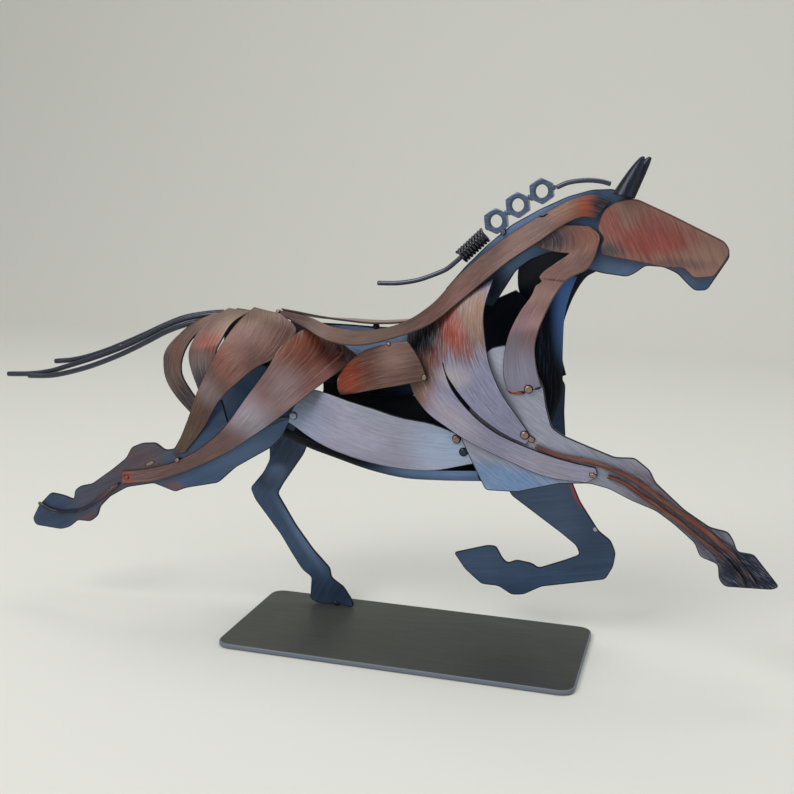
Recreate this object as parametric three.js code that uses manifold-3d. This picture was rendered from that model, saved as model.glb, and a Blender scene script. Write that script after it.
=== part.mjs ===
// A galloping horse made of bent sheet metal strips, rods, nuts and a spring, on a flat base plate.
// Millimetres. X runs along the horse, its head at +X. Z is up. -Y is the near side.
// The origin is the middle of the base plate's underside.
import * as THREE from 'three';
import { mergeVertices } from 'three/addons/utils/BufferGeometryUtils.js';
import Module from 'manifold-3d';

const wasm = await Module();
wasm.setup();

// Driving sizes
const baseLength = 200;
const baseWidth = 87.5;
const baseThick = 2.5;
const baseCorner = 9;
const midY = 10;             // the horse's own middle plane, measured from the base plate's middle
const near = -1;
const far = 1;
const sheetThick = 1.2;      // bent strips
const plateThick = 1.5;      // flat legs and head
const weldGap = 0.3;         // clearance left where one piece is welded to the next
const hindNearOut = 16;      // how far each flat plate stands out from the middle plane
const hindFarOut = 20;
const foreOut = 20;
const headOut = 4.4;
const hindStripOut = hindNearOut + plateThick / 2 + weldGap + sheetThick / 2;
const foreStripOut = foreOut + plateThick / 2 + weldGap + sheetThick / 2;

// Egg-shaped body forms that the bent strips lie on
const forms = {
  rump: { x: -97, z: 137, halfLength: 57, halfHeight: 48, halfWidth: 26, power: 2.3 },
  barrel: { x: -15, z: 141, halfLength: 112, halfHeight: 45, halfWidth: 27, power: 2.6 },
  shoulder: { x: 46, z: 135, halfLength: 62, halfHeight: 76, halfWidth: 27, power: 1.8 },
};
const closestOut = 3.4;      // no strip on a body form comes closer than this to the middle plane
const closestTop = 5.9;      // the same where a tail rod or a back strip passes inside the strip

const navy = [0x35465b, 0.45, 0.6];
const copper = [0x80675b, 0.5, 0.6];
const lilac = [0xa6a4b4, 0.45, 0.6];
const black = [0x4b4c4d, 0.6, 0.4];

const group = new THREE.Group();
group.name = 'horse_sculpture';

// Adds one closed body under its own name, in its own paint
function addPiece(name, geometry, [color, roughness, metalness]) {
  const material = new THREE.MeshStandardMaterial({ color, roughness, metalness });
  const mesh = new THREE.Mesh(geometry, material);
  mesh.name = name;
  group.add(mesh);
}

function toManifold(geometry) {
  const bare = geometry.clone();
  bare.deleteAttribute('normal');
  bare.deleteAttribute('uv');
  const merged = mergeVertices(bare, 1e-4);
  return new wasm.Manifold(new wasm.Mesh({
    numProp: 3,
    vertProperties: new Float32Array(merged.attributes.position.array),
    triVerts: new Uint32Array(merged.index.array),
  }));
}

function fromManifold(solid) {
  const mesh = solid.getMesh();
  const geometry = new THREE.BufferGeometry();
  geometry.setAttribute('position', new THREE.BufferAttribute(new Float32Array(mesh.vertProperties), 3));
  geometry.setIndex(new THREE.BufferAttribute(new Uint32Array(mesh.triVerts), 1));
  return geometry;
}

// Joins a list of closed geometries into one body
function fuse(geometries) {
  return fromManifold(geometries.map(toManifold).reduce((sum, next) => sum.add(next)));
}

function smoothStep(from, to, t) {
  const k = Math.min(1, Math.max(0, (t - from) / (to - from)));
  return k * k * (3 - 2 * k);
}

// Distance out from the middle plane to a body form at (x, z), never less than closest;
// lift swells the form all round
function formOut(form, x, z, lift, closest) {
  const along = (x - form.x) / (form.halfLength + lift);
  const up = (z - form.z) / (form.halfHeight + lift);
  const reach = Math.min(1, Math.hypot(along, up));
  const out = (form.halfWidth + lift) * Math.pow(1 - Math.pow(reach, form.power), 1 / form.power);
  return Math.hypot(out, closest);
}

// A curve through a few points [x, z] or [x, z, out]
function edgeCurve(points) {
  return new THREE.CatmullRomCurve3(points.map(([x, z, out = 0]) => new THREE.Vector3(x, out, z)));
}

// The larger of two distances, with a soft change-over
function softMax(p, q) {
  return Math.pow(Math.pow(p, 8) + Math.pow(q, 8), 1 / 8);
}

// A grid of points between two edges. Each point is (x, out, z):
// with a form it lies on that form, starts at startOut and settles to endOut over the given
// stretches; without a form the edges carry their own distance out.
// bulge bows the middle of each row, round bows the first and last row outwards.
function grid(edgeA, edgeB, spec = {}) {
  const { rows = 12, cols = 3, form, lift = 0, bulge = [0, 0, 0], round = [0, 0] } = spec;
  const { settle = [2, 3], endOut = 0, rise = 0, startOut = 0, closest = closestOut } = spec;
  const curveA = edgeCurve(edgeA);
  const curveB = edgeCurve(edgeB);
  const points = [];
  for (let i = 0; i <= rows; i += 1) {
    const t = i / rows;
    const a = curveA.getPoint(t);
    const b = curveB.getPoint(t);
    const ahead = curveA.getPoint(Math.min(1, t + 0.01)).add(curveB.getPoint(Math.min(1, t + 0.01)));
    const behind = curveA.getPoint(Math.max(0, t - 0.01)).add(curveB.getPoint(Math.max(0, t - 0.01)));
    const along = ahead.sub(behind).normalize();
    const push = round[1] * smoothStep(0.7, 1, t) - round[0] * smoothStep(0.3, 0, t);
    const row = [];
    for (let j = 0; j <= cols; j += 1) {
      const s = j / cols;
      const bow = 4 * s * (1 - s);
      const p = a.clone().lerp(b, s).addScaledVector(along, push * bow);
      p.add(new THREE.Vector3(...bulge).multiplyScalar(bow));
      if (form) {
        const held = smoothStep(settle[0], settle[1], t);
        const least = endOut * smoothStep(settle[0] - 0.3, settle[0], t);
        const low = rise > 0 ? 1 - smoothStep(0, rise, t) : 0;
        const onForm = softMax(formOut(form, p.x, p.z, lift, closest), least);
        p.y = onForm * (1 - held) * (1 - low) + endOut * held + startOut * low;
      }
      row.push(p);
    }
    points.push(row);
  }
  return points;
}

// Thickens one or more grids that share edge points into one closed sheet
function sheet(grids, side, thick = sheetThick) {
  const found = new Map();
  const points = [];
  const quads = [];
  const indexOf = (p) => {
    const key = [p.x, p.y, p.z].map((v) => Math.round(v * 100)).join();
    if (!found.has(key)) {
      found.set(key, points.length);
      points.push(new THREE.Vector3(p.x, midY + side * p.y, p.z));
    }
    return found.get(key);
  };
  for (const rows of grids) {
    const ids = rows.map((row) => row.map(indexOf));
    for (let i = 0; i + 1 < ids.length; i += 1) {
      for (let j = 0; j + 1 < ids[i].length; j += 1) {
        const quad = [ids[i][j], ids[i][j + 1], ids[i + 1][j + 1], ids[i + 1][j]];
        if (new Set(quad).size > 2) quads.push([...new Set(quad)]);
      }
    }
  }
  const normals = points.map(() => new THREE.Vector3());
  for (const quad of quads) {
    const [a, b, c] = quad.map((k) => points[k]);
    const d = points[quad[quad.length - 1]];
    const n = c.clone().sub(a).cross(d.clone().sub(b));
    if (quad.length === 3) n.copy(b.clone().sub(a).cross(c.clone().sub(a)));
    quad.forEach((k) => normals[k].add(n));
  }
  const skin = [1, -1].map((way) => points.map((p, k) => (
    p.clone().addScaledVector(normals[k].clone().normalize(), way * thick / 2))));
  const count = points.length;
  const triangles = [];
  const rims = new Map();
  for (const quad of quads) {
    for (let k = 1; k + 1 < quad.length; k += 1) {
      triangles.push(quad[0], quad[k], quad[k + 1]);
      triangles.push(quad[0] + count, quad[k + 1] + count, quad[k] + count);
    }
    quad.forEach((from, k) => {
      const to = quad[(k + 1) % quad.length];
      if (rims.has(`${to},${from}`)) rims.delete(`${to},${from}`);
      else rims.set(`${from},${to}`, [from, to]);
    });
  }
  for (const [from, to] of rims.values()) {
    triangles.push(from, from + count, to + count, from, to + count, to);
  }
  const flat = skin.flat().flatMap((p) => [p.x, p.y, p.z]);
  const geometry = new THREE.BufferGeometry();
  geometry.setAttribute('position', new THREE.Float32BufferAttribute(flat, 3));
  geometry.setIndex(triangles);
  return facingOut(geometry);
}

// Turns a closed body right side out
function facingOut(geometry) {
  const at = geometry.attributes.position;
  const ids = geometry.index.array;
  let volume = 0;
  for (let k = 0; k < ids.length; k += 3) {
    const [a, b, c] = [0, 1, 2].map((n) => new THREE.Vector3().fromBufferAttribute(at, ids[k + n]));
    volume += a.dot(b.cross(c));
  }
  if (volume < 0) {
    for (let k = 0; k < ids.length; k += 3) {
      [ids[k], ids[k + 1]] = [ids[k + 1], ids[k]];
    }
  }
  return geometry;
}

// An outline [x, z] with its corners cut round by up to the given radius
function roundedShape(outline, radius) {
  const shape = new THREE.Shape();
  const corners = outline.map(([x, z]) => new THREE.Vector2(x, z));
  corners.forEach((corner, k) => {
    const before = corners[(k + corners.length - 1) % corners.length];
    const after = corners[(k + 1) % corners.length];
    const cutIn = Math.min(radius, corner.distanceTo(before) * 0.45);
    const cutOut = Math.min(radius, corner.distanceTo(after) * 0.45);
    const start = corner.clone().lerp(before, cutIn / corner.distanceTo(before));
    const end = corner.clone().lerp(after, cutOut / corner.distanceTo(after));
    if (k === 0) shape.moveTo(start.x, start.y);
    else shape.lineTo(start.x, start.y);
    shape.quadraticCurveTo(corner.x, corner.y, end.x, end.y);
  });
  shape.closePath();
  return shape;
}

// A flat plate cut to an outline, standing upright at a distance out from the middle plane
function plate(outline, side, out, radius = 2, curveSegments = 1) {
  const settings = { depth: plateThick, bevelEnabled: false, curveSegments };
  const geometry = new THREE.ExtrudeGeometry(roundedShape(outline, radius), settings);
  geometry.rotateX(Math.PI / 2);
  geometry.translate(0, midY + side * out + plateThick / 2, 0);
  return geometry;
}

// A round rod carried along points [x, z] or [x, z, out]
function rod(points, radius, side = near, steps = 10, sides = 7) {
  const path = new THREE.CatmullRomCurve3(points.map(([x, z, out = 0]) => (
    new THREE.Vector3(x, midY + side * out, z))));
  return carried(path, radius, steps, sides);
}

function carried(path, radius, steps, sides) {
  const ring = new THREE.Shape();
  for (let k = 0; k < sides; k += 1) {
    const turn = (k / sides) * 2 * Math.PI;
    const spot = [radius * Math.cos(turn), radius * Math.sin(turn)];
    if (k === 0) ring.moveTo(...spot);
    else ring.lineTo(...spot);
  }
  ring.closePath();
  return new THREE.ExtrudeGeometry(ring, { steps, bevelEnabled: false, extrudePath: path });
}

// A low domed rivet or weld bead sunk a little into the piece it sits on
function bead([x, z, out], radius, side = near, sink = 0.4) {
  const height = radius * 0.7;
  const profile = [[0, -sink], [radius, -sink], [radius, 0], [radius * 0.75, height * 0.7], [0, height]];
  const geometry = new THREE.LatheGeometry(profile.map(([r, h]) => new THREE.Vector2(r, h)), 8);
  if (side === near) geometry.rotateX(Math.PI);
  geometry.translate(x, midY + side * out, z);
  return geometry;
}
const rivetRadius = 2.2;
const weldRadius = 1.4;

// Base plate
const baseShape = roundedShape([
  [-baseLength / 2, -baseWidth / 2],
  [baseLength / 2, -baseWidth / 2],
  [baseLength / 2, baseWidth / 2],
  [-baseLength / 2, baseWidth / 2],
], baseCorner);
const baseSettings = { depth: baseThick, bevelEnabled: false, curveSegments: 6 };
const baseGeometry = new THREE.ExtrudeGeometry(baseShape, baseSettings);
addPiece('base_plate', baseGeometry, black);

// Far hind leg: stands on the base plate, its foot welded down
const soleZ = baseThick + weldGap;
const farHindLeg = [
  [-104, 149.5], [-123, 139], [-130.5, 127], [-129, 114], [-113, 102], [-97, 99], [-97, 91], [-101, 83],
  [-110, 72], [-107, 65], [-90, 44], [-83, 33], [-76, 23], [-70, 19], [-71, 5], [-66, soleZ],
  [-43, soleZ], [-43, 6], [-49, 15], [-57, 20], [-58, 26], [-69, 37], [-80, 51], [-92, 70], [-88, 77],
  [-75, 96], [-71, 106], [-73, 124], [-89, 146],
];
const footWeld = [-54, soleZ + weldRadius, plateThick / 2 - hindFarOut];   // on the plate's near face
const footPlate = plate(farHindLeg, far, hindFarOut);
addPiece('far_hind_leg', fuse([footPlate, bead(footWeld, weldRadius)]), navy);

// Near hind leg: stretched out behind, thigh and hoof in one plate
const nearHindLeg = [
  [-142, 102], [-148, 101], [-154, 105], [-163, 104], [-170, 101], [-174, 94], [-184, 86], [-198, 76],
  [-206, 74], [-210, 71], [-211, 65], [-218, 67], [-227, 68], [-236, 59], [-241, 50], [-239, 46],
  [-221, 45], [-215, 47], [-209, 52], [-200, 52], [-195, 56], [-193, 62], [-186, 69], [-174, 76],
  [-156, 80], [-142, 76], [-135, 79], [-114, 84], [-103, 94], [-80, 108], [-74, 114], [-67, 127],
  [-86, 124], [-107, 120], [-111, 134], [-123, 129], [-133, 117],
];
addPiece('near_hind_leg', plate(nearHindLeg, near, hindNearOut), navy);

// Near foreleg: shoulder blade, elbow and leg in one plate reaching forward
const nearForeleg = [
  [42, 168], [46, 172], [54, 174], [66, 168], [74, 153], [76, 142], [79, 132], [85, 128], [96, 124],
  [112, 118.5], [122, 119], [130, 113], [133, 107], [148, 94], [161, 86], [170, 84.5], [173, 80],
  [175, 74.5], [183, 74], [197.3, 58.2], [193, 56.5], [170, 55.5], [167, 59], [166, 67], [157, 70],
  [154, 77], [143, 86], [134, 92], [121, 96.5], [110, 101.5], [100, 103.5], [84, 102], [62, 95.5],
  [45, 95], [37, 110], [31, 122],
];
addPiece('near_foreleg', plate(nearForeleg, near, foreOut), lilac);

// Far foreleg: folded back under the chest
const farForeleg = [
  [52, 82], [82, 62], [90, 56], [92, 51], [84, 47], [69, 40.5], [65, 43], [56, 44], [51, 41.5],
  [48, 44], [44, 51], [39, 51], [19, 44.5], [26, 35], [36, 27], [46, 27], [54, 22.5], [61, 23.5],
  [71, 29.5], [86, 33], [107, 38], [111, 46], [112, 54], [109, 61], [102, 66], [91, 82], [86, 93],
  [82, 110], [80, 132], [80, 148], [74, 156], [60, 154], [48, 140], [44, 118], [45, 95],
];
addPiece('far_foreleg', plate(farForeleg, far, foreOut), navy);

// Middle plate of the head and crest, with a cheek plate on each side
const crestAndJaw = [
  [15, 199], [27, 213], [38, 224], [51, 235], [66, 243.5], [80, 250], [92, 253.5], [103, 254],
  [113, 249], [161, 226], [162, 221], [152, 204], [146, 203.5], [142, 207], [137, 212], [130, 215],
  [121, 215.5], [116, 211.5], [112, 209.5], [99, 211], [91, 213], [83, 221], [72, 221], [62, 217],
  [54, 211], [48, 201], [42, 191],
];
addPiece('crest_and_jaw_plate', plate(crestAndJaw, near, 0), navy);

const cheek = [
  [115, 249], [133, 241], [159, 228.5], [162, 224], [160, 219], [155, 211], [145, 210], [140, 215],
  [131, 215], [120, 217], [99, 220.5], [98, 225], [100, 229], [96, 233.5], [97, 238], [99, 243],
  [104, 247], [110, 249],
];
addPiece('head_plate_near', plate(cheek, near, headOut), [0x87695f, 0.5, 0.6]);
addPiece('head_plate_far', plate(cheek, far, headOut), [0x87695f, 0.5, 0.6]);

// Ears: two small leaves rolled into open cones
const earSteps = 6;
const earRadius = 6;
const earOut = 7;
const earFoot = [109, 251.9];
const earHeel = 3;         // how far the back of the foot reaches down
const earOpening = 0.23;     // share of a half turn left open on each side of the front
function ear(side, tip) {
  const axis = new THREE.Vector3(tip[0] - earFoot[0], 0, tip[1] - earFoot[1]);
  const across = new THREE.Vector3(axis.z, 0, -axis.x).normalize();
  const rows = [];
  for (let i = 0; i <= earSteps; i += 1) {
    const t = i / earSteps;
    const radius = earRadius * Math.sqrt(1 - 0.97 * t) * (1 - 0.25 * t);
    const row = [];
    for (let j = 0; j <= earSteps; j += 1) {
      const turn = Math.PI * (earOpening + (2 * (1 - earOpening) * j) / earSteps);
      const p = new THREE.Vector3(earFoot[0], earOut - 3 * t, earFoot[1]).addScaledVector(axis, t);
      p.addScaledVector(across, radius * Math.cos(turn));
      p.z -= earHeel * (1 - t) ** 2 * (0.5 - 0.5 * Math.cos(turn));
      p.y += 0.8 * radius * Math.sin(turn);
      row.push(p);
    }
    rows.push(row);
  }
  return sheet([rows], side, 0.8);
}
addPiece('ear_near', ear(near, [117.5, 269.8]), navy);
addPiece('ear_far', ear(far, [120.3, 269.8]), navy);

// Mane: three nuts, a spring and two rods on the crest
const nutFlat = 6;
const nutHole = 3.5;
const nutThick = 5.5;
const nutSpots = [[66.3, 252.5], [54, 245.2], [42.7, 236.7]];
function nut([x, z], turn) {
  const shape = new THREE.Shape();
  for (let k = 0; k < 6; k += 1) {
    const angle = turn + Math.PI / 6 + (k * Math.PI) / 3;
    const reach = nutFlat / Math.cos(Math.PI / 6);
    const spot = [reach * Math.cos(angle), reach * Math.sin(angle)];
    if (k === 0) shape.moveTo(...spot);
    else shape.lineTo(...spot);
  }
  shape.closePath();
  const hole = new THREE.Path();
  hole.absarc(0, 0, nutHole, 0, 2 * Math.PI, true);
  shape.holes.push(hole);
  const settings = { depth: nutThick, bevelEnabled: false, curveSegments: 8 };
  const geometry = new THREE.ExtrudeGeometry(shape, settings);
  geometry.rotateX(Math.PI / 2);
  geometry.translate(x, midY + nutThick / 2, z);
  return geometry;
}
const nutTurn = 0.12;
const nutWeld = 0.6;
nutSpots.forEach(([x, z], k) => {
  const welds = [];
  if (k < 2) {
    const [nextX, nextZ] = nutSpots[k + 1];
    const share = (nutFlat + 0.4) / Math.hypot(nextX - x, nextZ - z);
    const spot = [x + (nextX - x) * share, z + (nextZ - z) * share, 0];
    welds.push(bead(spot, nutWeld, near, 1.5));
  }
  addPiece(`mane_nut_${k + 1}`, fuse([nut([x, z], nutTurn), ...welds]), navy);
});

const springFoot = [23.9, 217.3];
const springHead = [37, 229.6];
const springTurns = 9;
const coilRadius = 3.5;
const wireRadius = 0.9;
class Coil extends THREE.Curve {
  getPoint(t, target = new THREE.Vector3()) {
    const turn = 2 * Math.PI * springTurns * t;
    const dx = springHead[0] - springFoot[0];
    const dz = springHead[1] - springFoot[1];
    const length = Math.hypot(dx, dz);
    const across = coilRadius * Math.cos(turn);
    const x = springFoot[0] + dx * t - (across * dz) / length;
    const z = springFoot[1] + dz * t + (across * dx) / length;
    return target.set(x, midY + coilRadius * Math.sin(turn), z);
  }
}
addPiece('mane_spring', carried(new Coil(), wireRadius, 81, 5), navy);

const maneRod = 1.3;
const frontRod = [[73.8, 254.4], [80, 257], [90, 258.2], [97, 257.6], [101.5, 256.4]];
const rearRod = [[26, 219.2], [21, 214.6], [16, 210.6], [8, 207], [0, 204.2], [-11, 202.2], [-23, 201.8]];
addPiece('mane_rod_front', rod(frontRod, maneRod), navy);
addPiece('mane_rod_rear', rod(rearRod, maneRod), navy);

// The same curve at a fixed distance out
const lay = (points, out) => points.map(([x, z]) => [x, z, out]);

// Tail: three rods side by side
const tailRod = 1.6;
const tailGap = 2 * tailRod + 0.3;
const tailRods = [
  [
    [-265.5, 136.9], [-249, 138], [-234.4, 140.5], [-221.3, 144.6], [-204.8, 150], [-184.4, 157.6],
    [-167.6, 165.3], [-154.1, 172], [-141.8, 176.6], [-127.9, 179.6], [-116, 181],
  ],
  [
    [-248, 137.3], [-232, 138.4], [-219, 141.2], [-202.6, 146.2], [-182.3, 154.3], [-165.6, 162.3],
    [-152.2, 169.1], [-140, 173.7], [-129, 176.6],
  ],
  [
    [-233.3, 146.2], [-220.2, 147.9], [-204.9, 152], [-186.6, 158.9], [-169.7, 166.2], [-156.1, 172.4],
    [-143.7, 177.2], [-129.7, 180.1], [-118, 181.5],
  ],
];
const tailShift = [0, tailGap, -tailGap];
tailRods.forEach((points, k) => addPiece(`tail_rod_${k + 1}`, rod(lay(points, tailShift[k]), tailRod), navy));

// Rods laid along the two stretched legs
const foreRod = 1.3;
const foreRodLow = 1.1;
const hindRod = 1;
const foreRodOut = foreOut + plateThick / 2 + weldGap + foreRod;
const foreRodPoints = [
  [71.3, 121.6], [82, 118], [104, 114.7], [120, 109], [142, 95], [155, 87], [167, 78], [174, 72], [185, 58],
];
const foreRodLowPoints = [
  [109, 108.5], [117, 106], [127, 99.8], [143, 89.8], [155, 81], [167, 72.6], [173, 67], [180, 58],
];
const hindRodOut = hindNearOut + plateThick / 2 + weldGap + hindRod;
const hindRodPoints = [[-179, 78], [-192, 68], [-206, 59], [-216, 57], [-226, 57], [-235, 61]];
addPiece('foreleg_rod_upper', rod(lay(foreRodPoints, foreRodOut), foreRod, near, 12), [0x6b5348, 0.5, 0.6]);
addPiece('foreleg_rod_lower', rod(lay(foreRodLowPoints, foreRodOut), foreRodLow), [0x6b5348, 0.5, 0.6]);
addPiece('hind_leg_rod', rod(lay(hindRodPoints, hindRodOut), hindRod), navy);

// Near rump: four strips that fan out from the croup and overlap towards the hock
const layer = sheetThick + 0.5;
const tuckedOut = hindNearOut - 2.4;      // inside the leg plate
const rumpStrips = [
  {
    a: [[-111, 183], [-131, 177], [-147, 162], [-148, 148], [-141, 133], [-128, 120]],
    b: [[-100, 181], [-117, 177], [-130, 165], [-134, 149], [-131, 137], [-121.5, 125]],
    spec: {
      form: forms.rump, lift: 0, closest: closestTop, settle: [0.5, 0.86], endOut: tuckedOut,
    },
  },
  {
    a: [[-109, 185], [-121, 176], [-127, 164], [-127, 152], [-123, 134]],
    b: [[-93, 184.5], [-102, 178], [-107, 168], [-111.5, 156], [-114, 137.5]],
    spec: {
      form: forms.rump, lift: layer, closest: closestTop, settle: [0.55, 1], endOut: hindStripOut + 0.8,
    },
  },
  {
    a: [
      [-92, 186.5], [-98, 179], [-105, 168], [-110, 159], [-117, 145], [-126, 128], [-136, 111],
      [-142, 99],
    ],
    b: [[-76, 183.5], [-65, 175], [-70, 163], [-84, 155], [-96, 145], [-108, 134], [-120, 118], [-134, 101]],
    spec: {
      form: forms.rump, lift: 2 * layer, closest: closestTop,
      settle: [0.6, 0.97], endOut: hindStripOut, rows: 14,
    },
  },
  {
    a: [
      [-61.5, 176], [-70.5, 167.5], [-77, 155], [-88.5, 139], [-101, 123], [-115, 111], [-138, 96],
      [-159, 89], [-176, 86],
    ],
    b: [
      [-40, 167], [-32, 160], [-42, 152], [-54, 142], [-67, 131], [-85, 118], [-111, 101],
      [-150, 83], [-177, 78],
    ],
    spec: {
      form: forms.rump, lift: 3 * layer, closest: closestTop,
      settle: [0.45, 0.8], endOut: hindStripOut, rows: 14,
    },
    rivets: [[-139, 96, hindStripOut]],
  },
];
rumpStrips.forEach(({ a, b, spec, rivets = [] }, k) => {
  const welds = rivets.map((spot) => bead(spot, weldRadius));
  addPiece(`rump_strip_near_${k + 1}`, fuse([sheet([grid(a, b, spec)], near), ...welds]), copper);
});

// Far rump: three strips that fan out from the croup down to the standing leg
const farRear = [[-114, 183], [-127, 166], [-127, 146], [-117, 124], [-104, 105]];
const farFront = [[-66, 175], [-68, 160], [-76, 142], [-84, 122], [-94, 104]];
const mix = (p, q, s) => p.map((v, k) => v + (q[k] - v) * s);
for (let k = 0; k < 3; k += 1) {
  const a = farRear.map((p, n) => mix(p, farFront[n], (k + 0.04) / 3));
  const b = farRear.map((p, n) => mix(p, farFront[n], (k + 0.92) / 3));
  const closest = k === 0 ? closestTop : closestOut;
  const spec = { form: forms.rump, lift: layer, closest, settle: [0.6, 1], endOut: foreStripOut };
  addPiece(`rump_strip_far_${k + 1}`, sheet([grid(a, b, spec)], far), copper);
}

// Back strips: from the croup, wide of the saddle and up the crest to the poll
const backUpper = [
  [-82, 185, 3.5], [-60, 182, 9], [-46, 178, 12.5], [-27, 176.5, 15], [-5, 181.5, 14.5],
  [11, 192, 11.5], [24, 207, 7], [38, 220, 3.6], [51, 230, 3], [65, 239, 2.6], [84, 249, 2.3],
  [94, 251, 2.2], [102, 248, 2.2],
];
const backLower = [
  [-80.5, 183, 5], [-62, 178, 15.5], [-45, 171.5, 22], [-25.5, 170.3, 25.5], [-2.5, 176.3, 24.5],
  [13, 183, 21.5], [27, 194.5, 16], [41, 207, 13], [53, 217, 10], [66, 226, 7.5], [80, 236, 5],
  [88, 239.5, 3.6], [95, 239, 2.6],
];
// Over the saddle the far strip lies flatter and higher
const backFarUpper = [
  [-82, 185, 3.5], [-60, 180.6, 9.5], [-46, 178.8, 12], [-27, 177.8, 13.5], [-5, 181, 13.5],
  ...backUpper.slice(5),
];
const backFarLower = [
  [-80.5, 183, 5], [-62, 179.4, 15.5], [-45, 178.8, 20], [-25.5, 178.4, 22], [-2.5, 181, 22.5],
  [13, 185, 21.5], ...backLower.slice(6),
];
const backSpec = { rows: 20, cols: 2 };
const croupWeld = [-80.2, 183.9, 5.2];
const backStrip = sheet([grid(backUpper, backLower, backSpec)], near);
addPiece('back_strip_near', fuse([backStrip, bead(croupWeld, weldRadius)]), copper);
addPiece('back_strip_far', sheet([grid(backFarUpper, backFarLower, backSpec)], far), copper);

// Flank: a leaf on the near side, a broad sheet on the far side
const leafUpper = [
  [-41, 150, 13.5], [-33, 159.5, 17], [-24, 166.5, 20.5], [-10, 171.5, 23], [1, 173.5, 22.5],
];
const leafLower = [[-38, 141, 17], [-29, 143, 21], [-14, 147, 24.5], [-1, 150, 25], [12, 153, 22.6]];
const leafSheet = sheet([grid(leafUpper, leafLower, { rows: 8, bulge: [0, 1.5, 0], round: [1, 2] })], near);
const leafWelds = [[-9, 171.6, 23], [11, 154.6, 23.4], [-39.8, 148.6, 14.6]];
addPiece('flank_leaf_near', fuse([leafSheet, ...leafWelds.map((spot) => bead(spot, weldRadius))]), copper);
const flankUpper = [[-65, 176.4], [-47, 175.8], [-25, 175], [4, 176.5]];
const flankLower = [[-64, 134], [-45, 134], [-20, 134], [4, 137]];
const flankSpec = { rows: 8, cols: 5, form: forms.barrel, lift: -1.5 };
const flankSheet = sheet([grid(flankUpper, flankLower, flankSpec)], far);
addPiece('flank_sheet_far', flankSheet, navy);

// Near shoulder: one sheet slit into two lobes that run down onto the foreleg
const slitRow = 3;
const lobeRows = 12;
const rearOuter = [
  [-3, 176], [-1, 162], [3, 146], [11, 137], [24, 129], [36, 122], [56, 113], [77, 105.5], [98, 104],
];
const rearInner = [
  [17, 188], [19, 175], [20.6, 163], [25.6, 151], [38, 137.6], [51, 127.7], [71, 119.4], [88, 114.9],
  [102.4, 112.6],
];
const frontLeft = [
  [17, 188], [19, 175], [20.8, 163], [27.2, 151.2], [38.6, 139.4], [48.8, 131.4], [57.4, 125.6], [66, 121.9],
];
const frontRight = [[44, 207], [41, 190], [43, 176], [46, 164], [51, 153.5], [56, 145], [62, 136], [69, 126]];
const lobeForm = { form: forms.shoulder, rows: lobeRows };
const rearSpec = { ...lobeForm, settle: [0.45, 0.85], endOut: foreStripOut, round: [0, 3] };
const rearLobe = grid(rearOuter, rearInner, rearSpec);
const frontLobe = grid(frontLeft, frontRight, { ...lobeForm, settle: [0.6, 1], endOut: foreStripOut });
for (let i = 0; i <= slitRow; i += 1) frontLobe[i][0] = rearLobe[i][rearLobe[i].length - 1].clone();
const lobeTip = frontLobe[lobeRows - 1][2].clone().lerp(frontLobe[lobeRows][2], 0.5);
const lobeRivet = bead([lobeTip.x, lobeTip.z, lobeTip.y], rivetRadius);
addPiece('shoulder_sheet_near', fuse([sheet([rearLobe, frontLobe], near), lobeRivet]), lilac);

// Far shoulder: one plain leaf down onto the folded foreleg
const farShoulderRear = [[-2, 174], [0, 158], [5, 144], [14, 131], [28, 117], [46, 100]];
const farShoulderFront = [[52, 199.5], [64.5, 188], [63, 177], [56, 166], [55, 135], [58, 106]];
const farShoulderSpec = { form: forms.shoulder, rows: 10, cols: 5, settle: [0.6, 1], endOut: foreStripOut };
addPiece('shoulder_sheet_far', sheet([grid(farShoulderRear, farShoulderFront, farShoulderSpec)], far), navy);

// Throat strips: a shield with one wing at the top, then a strip down to the foreleg plate
const throatLeft = [
  [79, 235.5, 3.2], [82, 229, 4.2], [83, 222, 5.4], [76, 216, 7.6], [69, 210, 10.5], [65, 199, 15],
  [60, 191, 18], [55, 179, 21.4], [53, 168, 22], [53, 158, 21.8], [55.5, 149.5, foreStripOut],
];
const throatRight = [
  [92, 235, 3], [97.5, 230.5, 4], [97, 224, 5.6], [93, 214, 7.6], [83, 208, 10.5], [77.5, 200, 15],
  [73.5, 191, 18], [70.5, 182, 21.4], [69, 174, 22], [70, 164, 21.8], [73, 153, foreStripOut],
];
const throatRows = 18;
const wingRows = 4;
const throatRivet = [66.5, 151.5, foreStripOut];
const farShift = 7;          // the far strip stands further forward and is broader behind
const farSwell = 1.8;
const throatFarRight = throatRight.map(([x, z, out]) => (
  [x + farShift * smoothStep(226, 208, z), z, out + farSwell * Math.exp(-(((z - 174) / 8) ** 2))]));
const throatFarLeft = [
  [79, 235.5, 3.2], [82, 229, 4.2], [83, 222, 5.4], [68, 222, 8.6], [55, 216.5, 11.8], [52.6, 203, 14.8],
  [56, 189.5, 19.6], [59, 179, 23.1], [61.2, 168, 23.4], [60, 158, 21.9], [62.5, 149.5, foreStripOut],
];
function throatStrip(side, left, right) {
  const strip = grid(left, right, { rows: throatRows, round: [0, 1] });
  const wing = [];
  for (let i = 0; i <= wingRows; i += 1) {
    const root = strip[i][0];
    const tip = new THREE.Vector3(64, 5.2, 226.5 - i * 0.45);
    const middle = root.clone().lerp(tip, 0.5);
    middle.z += 0.5 * (2 - i);
    wing.push([tip, middle, root]);
  }
  return sheet([wing, strip], side);
}
const nearThroat = throatStrip(near, throatLeft, throatRight);
addPiece('throat_strip_near', fuse([nearThroat, bead(throatRivet, rivetRadius)]), copper);
addPiece('throat_strip_far', throatStrip(far, throatFarLeft, throatFarRight), navy);

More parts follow.
